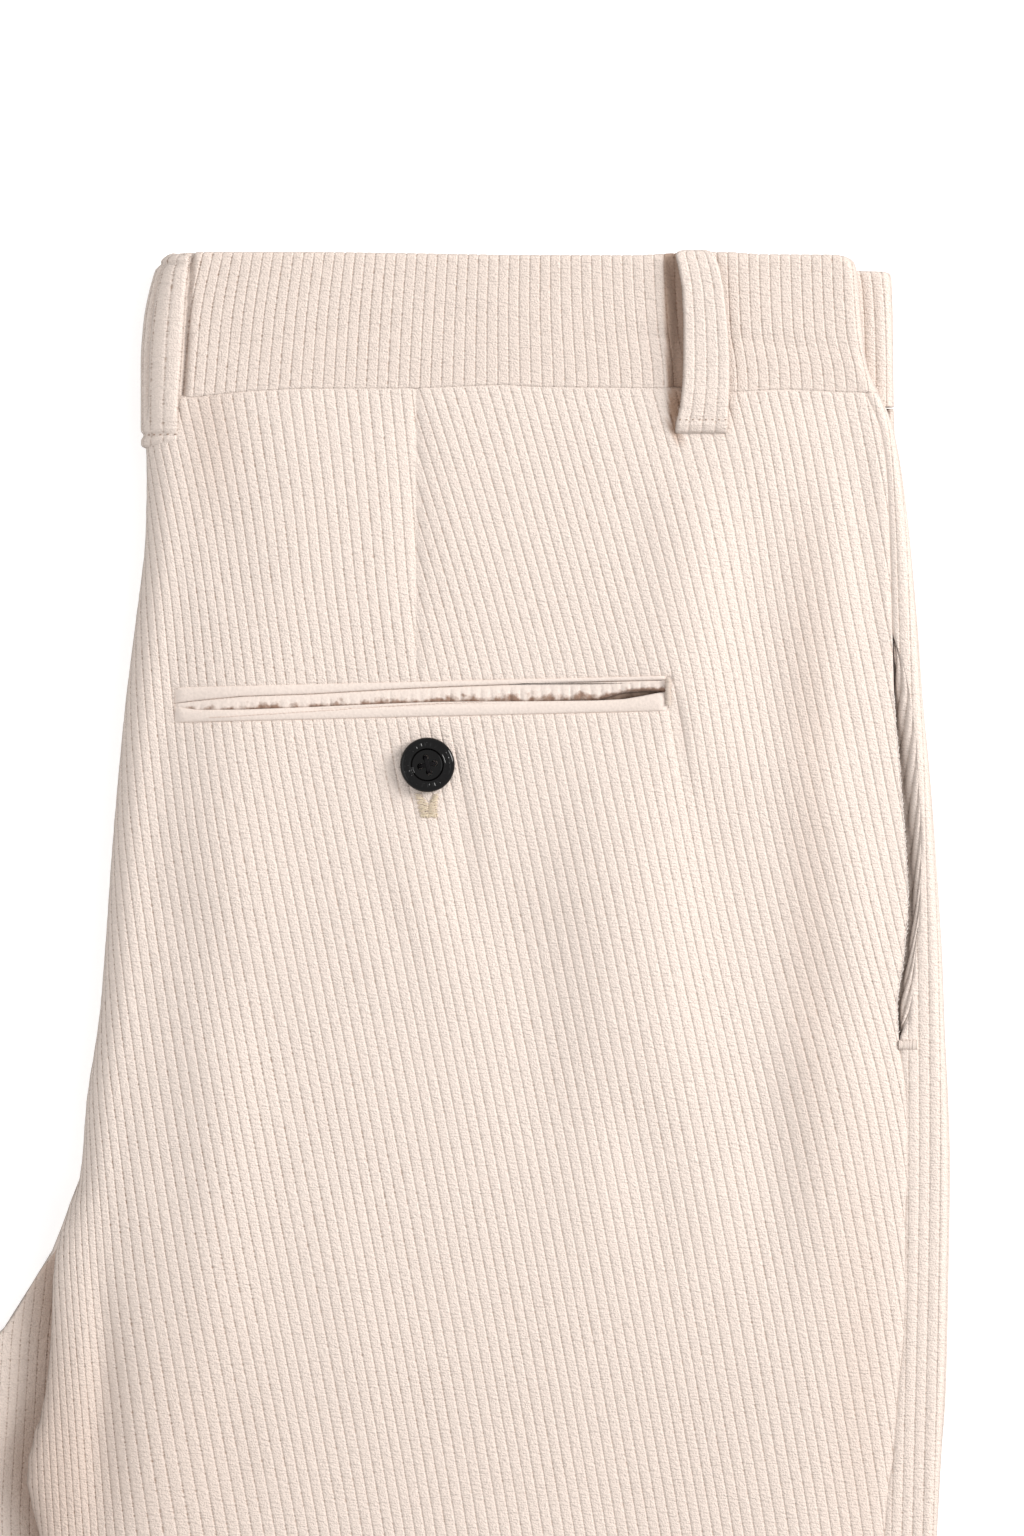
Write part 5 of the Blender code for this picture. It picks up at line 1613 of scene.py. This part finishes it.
# each strip: its name and node, its two edges and how far they are moved, its rows and the step
# of its columns, its shape and its cloth
strips = [pocketStrip(*strip) for strip in (
    ("backPocketUpperWelt", "back_pocket_upper_welt", ("line",), ("top",), 16, 1.2,
     upperWeltShape, pilePlain),
    ("backPocketFacing", "back_pocket_facing", ("flap",), ("line", -0.05), 14, 0.35,
     flapShape, flapCloth),
    ("backPocketLining", "back_pocket_facing", ("slit", -0.6), ("flap", 0.5), 8, 0.35,
     liningShape, shadedLiningCloth),
    ("backPocketLowerWelt", "back_pocket_lower_welt", ("bottom",), ("slit",), 20, 1.2,
     lowerWeltShape, pilePlain))]
print("set in the back pocket")

# Stitches

def stitchModel(sides=8):
    # one stitch, 1 long and 1 thick: an arched thread with rounded ends
    bpy.ops.object.select_all(action="DESELECT")
    bpy.ops.mesh.primitive_cylinder_add(vertices=sides, radius=0.5, depth=1.0,
                                        rotation=(0.0, quarterTurn, 0.0))
    model = bpy.context.object
    bpy.ops.object.transform_apply(location=True, rotation=True, scale=True)
    bpy.ops.object.mode_set(mode="EDIT")
    for place in (-0.3, -0.1, 0.1, 0.3):      # rings that let it bend
        bpy.ops.mesh.select_all(action="SELECT")
        bpy.ops.mesh.bisect(plane_co=(place, 0.0, 0.0), plane_no=(1.0, 0.0, 0.0))
    bpy.ops.object.mode_set(mode="OBJECT")
    for corner in model.data.vertices:
        along = 2.0 * corner.co.x
        taper = math.sqrt(max(0.12, 1.0 - abs(along) ** 3))
        corner.co.y *= taper
        corner.co.z = corner.co.z * taper + 0.5 * (1.0 - along * along)
    points = np.array([corner.co[:] for corner in model.data.vertices])
    faces = [list(face.vertices) for face in model.data.polygons]
    bpy.data.objects.remove(model, do_unlink=True)
    return points, faces


stitchPoints, stitchFaces = stitchModel()


def sewStitches(name, stitches, material):
    # stitches: middle, direction, length, thickness; all in one mesh of threads
    points, faces = [], []
    for middle, direction, length, thick in stitches:
        along = np.array(direction, dtype=float)
        along /= np.linalg.norm(along)
        across = np.cross((0.0, 0.0, 1.0), along)
        across /= np.linalg.norm(across)
        turned = np.array((along, across, np.cross(along, across)))
        offset = len(points) * len(stitchPoints)
        points.append(np.array(middle) + (stitchPoints * (length, thick, thick)) @ turned)
        faces += [[corner + offset for corner in face] for face in stitchFaces]
    piece = newPiece(name, np.concatenate(points), faces, material)
    piece.data.shade_smooth()
    return dress(piece)


rng = np.random.default_rng(7)
# Each row of stitches: from, to, step, length, thickness and how unevenly it is sewn.
sewing = {
    "weltLine": (-66.0, 67.5, 1.25, 1.2, 0.15, 0.03),
    "foldLine": (-60.0, 18.0, 1.25, 1.2, 0.14, 0.04),
    "foldAlong": (-62, -46, -30, -17, 0, 24),
    "foldAbove": (-4.1, -3.5, -2.9, -2.3, -1.6, -1.3),
    "windowLine": (-69.5, 69.5, 2.9, 0.6, 0.3, 0.06),
    "windowAbove": 4.45,
    "loopSize": (0.7, 0.34),
}


def onPanel(x, down, rise):
    return point(x, down, float(skin(np.array(x), np.array(down))) + rise)


def lineStitches(place, start, end, step, length, thick, wander):
    # even stitches along a line that place turns into points
    found = []
    for along in np.arange(start, end, step):
        here, there = place(along), place(along + 0.1)
        middle = here + rng.normal(0.0, wander, 3) * (1.0, 1.0, 0.3)
        found.append((middle, there - here, length, thick))
    return found


def weltLine(along):
    return pocketPlace(along, edgeOf(along, "line"), -0.5)


def foldLine(along):
    above = np.interp(along, sewing["foldAlong"], sewing["foldAbove"])
    bottom = edgeOf(along, "bottom")
    share = (above - bottom) / (edgeOf(along, "slit") - bottom)
    return pocketPlace(along, above, lowerWeltShape(along, share) + 0.05)


def windowLine(along):
    return pocketPlace(along, sewing["windowAbove"], -0.35)


def bartack(name, start, end, width, count, thick, rise, material):
    # close stitches side by side from start to end, each as long as width
    stitches = []
    start, run = np.array(start), np.subtract(end, start)
    across = np.array((-run[1], run[0])) / np.linalg.norm(run)
    for number in range(count):
        x, down = start + run * (number + 0.5) / count + rng.normal(0.0, 0.05, 2)
        middle = onPanel(x, down, rise)
        stitches.append((middle, (across[0], -across[1], 0.0),
                         width * (1.0 + rng.normal(0.0, 0.05)), thick))
    return sewStitches(name, stitches, material)


def loopStitches(name, place, down, start, sink):
    found = []
    for along in np.arange(start, 11.6, 1.5):
        spot = place(np.array([[along]]), np.array([[down]]))[0, 0]
        found.append((spot - (0.0, 0.0, sink), (1.0, 0.0, 0.0), *sewing["loopSize"]))
    return sewStitches(name, found, umberThread)


sewStitches("weltThread", lineStitches(weltLine, *sewing["weltLine"])
            + lineStitches(foldLine, *sewing["foldLine"]), roseThread)
sewStitches("seamThread", lineStitches(windowLine, *sewing["windowLine"]), umberThread)
bartack("pocketTack", (69.6, 122.4), (69.6, 130.0), 1.7, 20, 0.5, 0.5, tackThread)
bartack("sideTack", (135.6, 227.1), (141.0, 227.1), 2.9, 14, 0.5, 0.1, creamThread)
loopStitches("loopThread", sideLoopPlace, loop["sideStitch"], 0.8, 0.3)
loopStitches("backLoopThread", backLoopPlace, loop["backStitch"], 5.4, 0.6)
print("sewed the stitches")

# Side pocket: its facing on the bias, and the frayed edge in front of it

sideMouth = {
    "rows": spread(103.0, 228.0, 1.0),
    "bottom": 3.6,
    "opensAt": 2.0,
    "tuck": 4.0,
    "climbs": 4.0,        # the part of t that crosses the mouth
    "ends": 5.0,
    "beyond": 1.1,
    "slant": math.radians(16.5),
    "pitch": 2.9,
    "acrossPitch": 1.35,
    "relief": 0.7,
    "roundness": 0.5,
    # the dark gap between the frayed edge and the facing, and how low the facing's edge lies
    "downs": (110.0, 125.0, 140.0, 157.0, 172.0, 186.0, 198.0, 214.0, 226.0),
    "gap": (0.0, 0.1, 0.2, 0.5, 1.0, 1.1, 1.0, 0.6, 0.2),
    "edgeDepth": (0.8, 1.8, 2.8, 3.4, 3.2, 2.6, 2.0, 1.8, 1.5),
    "frayed": (127.0, 224.0, 0.42),
    "frayLength": 1.0,
    "frayThick": 0.26,
}


def mouthPlace(t, down):
    # t below 0 lies under the back panel; 0 to 4 climbs out of the gap, slopes up and turns
    # level; the rest goes into the front panel's edge
    start = sizeAt("seam", down) + np.interp(down, sideMouth["downs"], sideMouth["gap"])
    width = np.maximum(sizeAt("mouth", down) - start, 0.3)
    openness = ease(width / sideMouth["opensAt"])
    depth = np.interp(down, sideMouth["downs"], sideMouth["edgeDepth"])
    over = np.clip(t - sideMouth["climbs"], 0.0, 1.0)
    slope = np.clip((t - 0.5) / 3.5, 0.0, 1.0)
    x = (start + np.minimum(t, 0.0) * sideMouth["tuck"] / sideMouth["climbs"]
         + width * np.clip(t / sideMouth["climbs"], 0.0, 1.0) + sideMouth["beyond"] * over)
    rise = mix(-sideMouth["bottom"], -depth, ease(t / 0.8))
    rise = mix(-sideMouth["bottom"], rise + depth * (1.0 - (1.0 - slope) ** 1.9), openness)
    return point(x, down, skin(x, down) + rise + 0.06 - 0.9 * ease(over))


def mouthLift(block, t, down):
    rounded = waleShape(block["wale"], sideMouth["roundness"])
    return sideMouth["relief"] * (rounded - 1.0) * ease((sideMouth["ends"] - t) / 1.5)


t, downs = grid(sideMouth["rows"],
                [-4.0, -2.0, -1.0, -0.4] + spread(0.0, 4.0, 0.25) + [4.3, 4.6, 5.0])
bias = (sideMouth["acrossPitch"] * t * math.cos(sideMouth["slant"])
        + downs * math.sin(sideMouth["slant"])) / sideMouth["pitch"]
dress(sewSheet("sidePocketFacing", [{"t": t, "down": downs, "wale": bias}], mouthPlace, 1,
               cloth["trimWall"], mouthLift),
      "side_pocket_facing")

# short loose ends of yarn along the back edge of the mouth
yarns = []
for down in np.arange(*sideMouth["frayed"]):
    x = float(sizeAt("seam", down)) - 0.1 + rng.normal(0.0, 0.1)
    lean = rng.normal(0.0, 0.5)
    middle = onPanel(x, down, -0.2 + rng.normal(0.0, 0.08))
    length = sideMouth["frayLength"] * (1.0 + rng.normal(0.0, 0.25))
    yarns.append((middle, (0.8 + 0.5 * lean, 1.0, 0.2 * lean), length, sideMouth["frayThick"]))
sewStitches("frayedEdge", yarns, frayThread)
print("opened the side pocket")

# Button and its buttonhole

button = {
    "x": 1.0,
    "down": 147.1,
    "radius": 7.8,
    "height": 2.8,
    "sides": 96,
    "seat": 0.1,               # how far it stands off the cloth
    "ring": (6.55, 5.25),      # the notched band's outer and inner radius
    "dish": 4.3,
    "dishDepth": 0.85,
    "lip": 0.35,
    "notch": (0.28, 0.2),      # how far each is drawn in and raised
    "rimRound": 1.1,
    "soften": 0.08,
    "holeRadius": 0.85,
    "holeSpacing": 2.1,
    "turn": math.radians(13.0),
    "strands": (-0.34, 0.0, 0.34),
    "strandThick": 0.5,
    "plug": (2.2, 1.5),        # the threads down a hole, and how thick they lie together
}
holes = [(button["holeSpacing"] * math.cos(button["turn"] + quarterTurn * number),
          button["holeSpacing"] * math.sin(button["turn"] + quarterTurn * number))
         for number in range(4)]


def buttonSeat():
    rim = 0.8 * button["radius"]
    angles = np.radians(np.arange(0.0, 360.0, 45.0))
    beside = skin(button["x"] + rim * np.cos(angles), button["down"] + rim * np.sin(angles), False)
    return max(beside.max(), skin(button["x"], button["down"], False)) + button["seat"]


def pickFaces(piece, wanted):
    bpy.ops.mesh.select_all(action="DESELECT")
    bpy.ops.object.mode_set(mode="OBJECT")
    for face in piece.data.polygons:
        face.select = wanted(face)
    bpy.ops.object.mode_set(mode="EDIT")


def stepIn(inset, rise=0.0):
    # draw the selected faces in, then move them up or down
    bpy.ops.mesh.inset(thickness=inset)
    if rise:
        bpy.ops.transform.translate(value=(0.0, 0.0, rise * mm))


def turnButton():
    radius, height = button["radius"] * mm, button["height"] * mm
    bpy.ops.object.select_all(action="DESELECT")
    bpy.ops.mesh.primitive_cylinder_add(vertices=button["sides"], radius=radius, depth=height,
                                        location=(0.0, 0.0, 0.5 * height))
    piece = bpy.context.object
    bpy.ops.object.transform_apply(location=True, rotation=True, scale=True)
    bpy.ops.object.mode_set(mode="EDIT")
    bpy.ops.mesh.select_mode(type="FACE")
    pickFaces(piece, lambda face: (face.normal.z > 0.9 and face.center.z > 0.9 * height
                                   and len(face.vertices) > 8))
    ringOuter, ringInner = [size * mm for size in button["ring"]]
    dish, lip = button["dish"] * mm, button["lip"] * mm
    stepIn(radius - ringOuter - lip)
    stepIn(lip, -0.18)
    stepIn(ringOuter - ringInner)
    stepIn(0.2 * mm, 0.16)
    stepIn(ringInner - 0.2 * mm - dish - 0.45 * mm)
    stepIn(0.45 * mm, -button["dishDepth"])
    stepIn(lip, -0.12)
    middle = 0.5 * (ringOuter + ringInner)

    def isNotch(face):
        # two in every four of the sunken band's faces
        reach = math.hypot(face.center.x, face.center.y)
        turn = math.degrees(math.atan2(face.center.y, face.center.x)) % 360.0
        number = int(turn / 360.0 * button["sides"])
        onBand = abs(reach - middle) < 0.2 * mm and face.normal.z > 0.99
        return onBand and number % 4 < 2

    pickFaces(piece, isNotch)
    stepIn(button["notch"][0] * mm, button["notch"][1])
    bpy.ops.mesh.select_all(action="DESELECT")
    bpy.ops.object.mode_set(mode="OBJECT")
    for edge in piece.data.edges:
        ends = [piece.data.vertices[corner].co for corner in edge.vertices]
        onRim = all(abs(math.hypot(end.x, end.y) - radius) < 0.01 * mm for end in ends)
        level = abs(ends[0].z - ends[1].z) < 0.01 * mm
        atRim = min(abs(ends[0].z - rim) for rim in (0.0, height)) < 0.01 * mm
        edge.select = onRim and level and atRim
    bpy.ops.object.mode_set(mode="EDIT")
    bpy.ops.mesh.select_mode(type="EDGE")
    bpy.ops.mesh.bevel(offset=button["rimRound"] * mm, segments=6, profile=0.5)
    bpy.ops.object.mode_set(mode="OBJECT")
    for x, y in holes:
        bpy.ops.object.select_all(action="DESELECT")
        bpy.ops.mesh.primitive_cylinder_add(
            vertices=32, radius=button["holeRadius"] * mm, depth=4.0 * height,
            location=(x * mm, y * mm, 0.5 * height))
        cutAway(piece, bpy.context.object)
    soften = piece.modifiers.new("soften", "BEVEL")
    soften.width = button["soften"] * mm
    soften.segments = 3
    soften.limit_method = "ANGLE"
    soften.angle_limit = math.radians(28.0)
    applyModifiers(piece)
    piece.location = Vector((point(button["x"], button["down"], buttonSeat()) * mm).tolist())
    bpy.ops.object.transform_apply(location=True, rotation=True, scale=True)
    bpy.ops.object.shade_smooth_by_angle(angle=math.radians(35.0))
    piece.name = piece.data.name = "backPocketButton"
    piece.data.materials.clear()
    piece.data.materials.append(blackGloss)
    return dress(piece, "back_pocket_button")


def buttonThread():
    # the threads that cross between the four holes, and go down through them
    stitches = []
    base = buttonSeat() + button["height"] - button["dishDepth"]
    for start in (0, 1):
        first, second = np.array(holes[start]), np.array(holes[start + 2])
        run = second - first
        side = np.array((-run[1], run[0])) / np.linalg.norm(run)
        for offset in button["strands"]:
            middle = 0.5 * (first + second) + side * offset
            spot = point(button["x"] + middle[0], button["down"] - middle[1], base + 0.1 * start)
            stitches.append((spot, (run[0], run[1], 0.0), np.linalg.norm(run) + 1.1,
                             button["strandThick"]))
    for x, y in holes:
        spot = point(button["x"] + x, button["down"] - y, base - 1.9)
        stitches.append((spot, (0.02, 0.0, 1.0), *button["plug"]))
    return sewStitches("buttonThread", stitches, darkThread)


turnButton()
buttonThread()

# the end of the buttonhole below the button: two legs of close stitches and a bar; each leg's
# edges run from one x to another, and the gap between them closes at the second down
buttonhole = {
    "left": (-1.0, 1.4), "right": (2.6, 1.0), "outer": (-2.6, -1.1), "far": (4.2, 3.8),
    "down": (155.6, 158.4), "bottom": 161.6, "step": 0.42, "thick": 0.3, "rise": 0.35,
    "bar": (-0.8, 3.8, 0.45), "barLength": 1.2, "barThick": 0.36, "barRise": 0.2,
}


def sewButtonhole():
    stitches = []
    top, closed = buttonhole["down"]
    bottom = buttonhole["bottom"]
    for down in np.arange(top, bottom, buttonhole["step"]):
        toGap = min(1.0, (down - top) / (closed - top))
        toEnd = (down - top) / (bottom - top)
        spans = ((mix(*buttonhole["outer"], toEnd), mix(*buttonhole["left"], toGap)),
                 (mix(*buttonhole["right"], toGap), mix(*buttonhole["far"], toEnd)))
        for left, right in spans:
            place = onPanel(0.5 * (left + right), down + rng.normal(0.0, 0.06),
                            buttonhole["rise"])
            stitches.append((place, (1.0, rng.normal(0.2, 0.12), 0.0), right - left,
                             buttonhole["thick"]))
    for x in np.arange(*buttonhole["bar"]):
        place = onPanel(x, bottom + rng.normal(0.0, 0.08), buttonhole["barRise"])
        stitches.append((place, (rng.normal(0.0, 0.1), 1.0, 0.0), buttonhole["barLength"],
                         buttonhole["barThick"]))
    return sewStitches("buttonholeThread", stitches, ochreThread)


sewButtonhole()
print("sewed on the button")

# Stage, light and camera

white = (1.0, 1.0, 1.0, 1.0)
stage = {
    "floor": (0.93, 0.93, 0.93, 1.0),
    "floorSize": 9.0,
    "floorGlow": 0.34,
    "aimX": 25.1,
    "aimDown": 148.0,
    "height": 1.62,
    "shows": 438.9,      # mm of the garment from the top to the bottom of the view
    "surface": 15.0,
    "sensor": 36.0,
    "roomLight": 0.73,
    # each light: its place, size, power and colour
    "lights": {
        "keyLight": ((2.79, 1.46, 1.46), 1.5, 108.0, (1.0, 0.99, 0.975)),
        "fillLight": ((-1.4, 0.2, 1.7), 1.6, 5.0, (1.0, 1.0, 1.0)),
    },
}
bpy.ops.object.select_all(action="DESELECT")
bpy.ops.mesh.primitive_plane_add(size=stage["floorSize"], location=(0.0, 0.0, 0.0))
floor = bpy.context.object
floor.name = "paleFloor"
_, complete = newMaterial("palePaper")
floor.data.materials.append(complete({
    "Base Color": stage["floor"], "Roughness": 0.85, "Emission Color": white,
    "Emission Strength": stage["floorGlow"]}))

aim = Vector((stage["aimX"] * mm, (0.5 * garment["length"] - stage["aimDown"]) * mm,
              stage["surface"] * mm))
bpy.ops.object.camera_add(location=aim + Vector((0.0, 0.0, stage["height"])))
camera = bpy.context.object
camera.rotation_euler = (0.0, 0.0, 0.0)
camera.data.sensor_width = stage["sensor"]
camera.data.lens = stage["sensor"] * stage["height"] / (stage["shows"] * mm)
camera.data.clip_end = 20.0
bpy.context.scene.camera = camera
bpy.context.scene.view_settings.view_transform = "Standard"

for name, (place, size, power, colour) in stage["lights"].items():
    bpy.ops.object.light_add(type="AREA", location=place)
    light = bpy.context.object
    light.name = name
    light.data.shape = "DISK"
    light.data.size = size
    light.data.energy = power
    light.data.color = colour
    light.rotation_euler = (aim - Vector(place)).to_track_quat("-Z", "Y").to_euler()
world = bpy.data.worlds.new("paleRoom")
bpy.context.scene.world = world
world.use_nodes = True
room = world.node_tree.nodes["Background"].inputs
room["Color"].default_value = white
room["Strength"].default_value = stage["roomLight"]
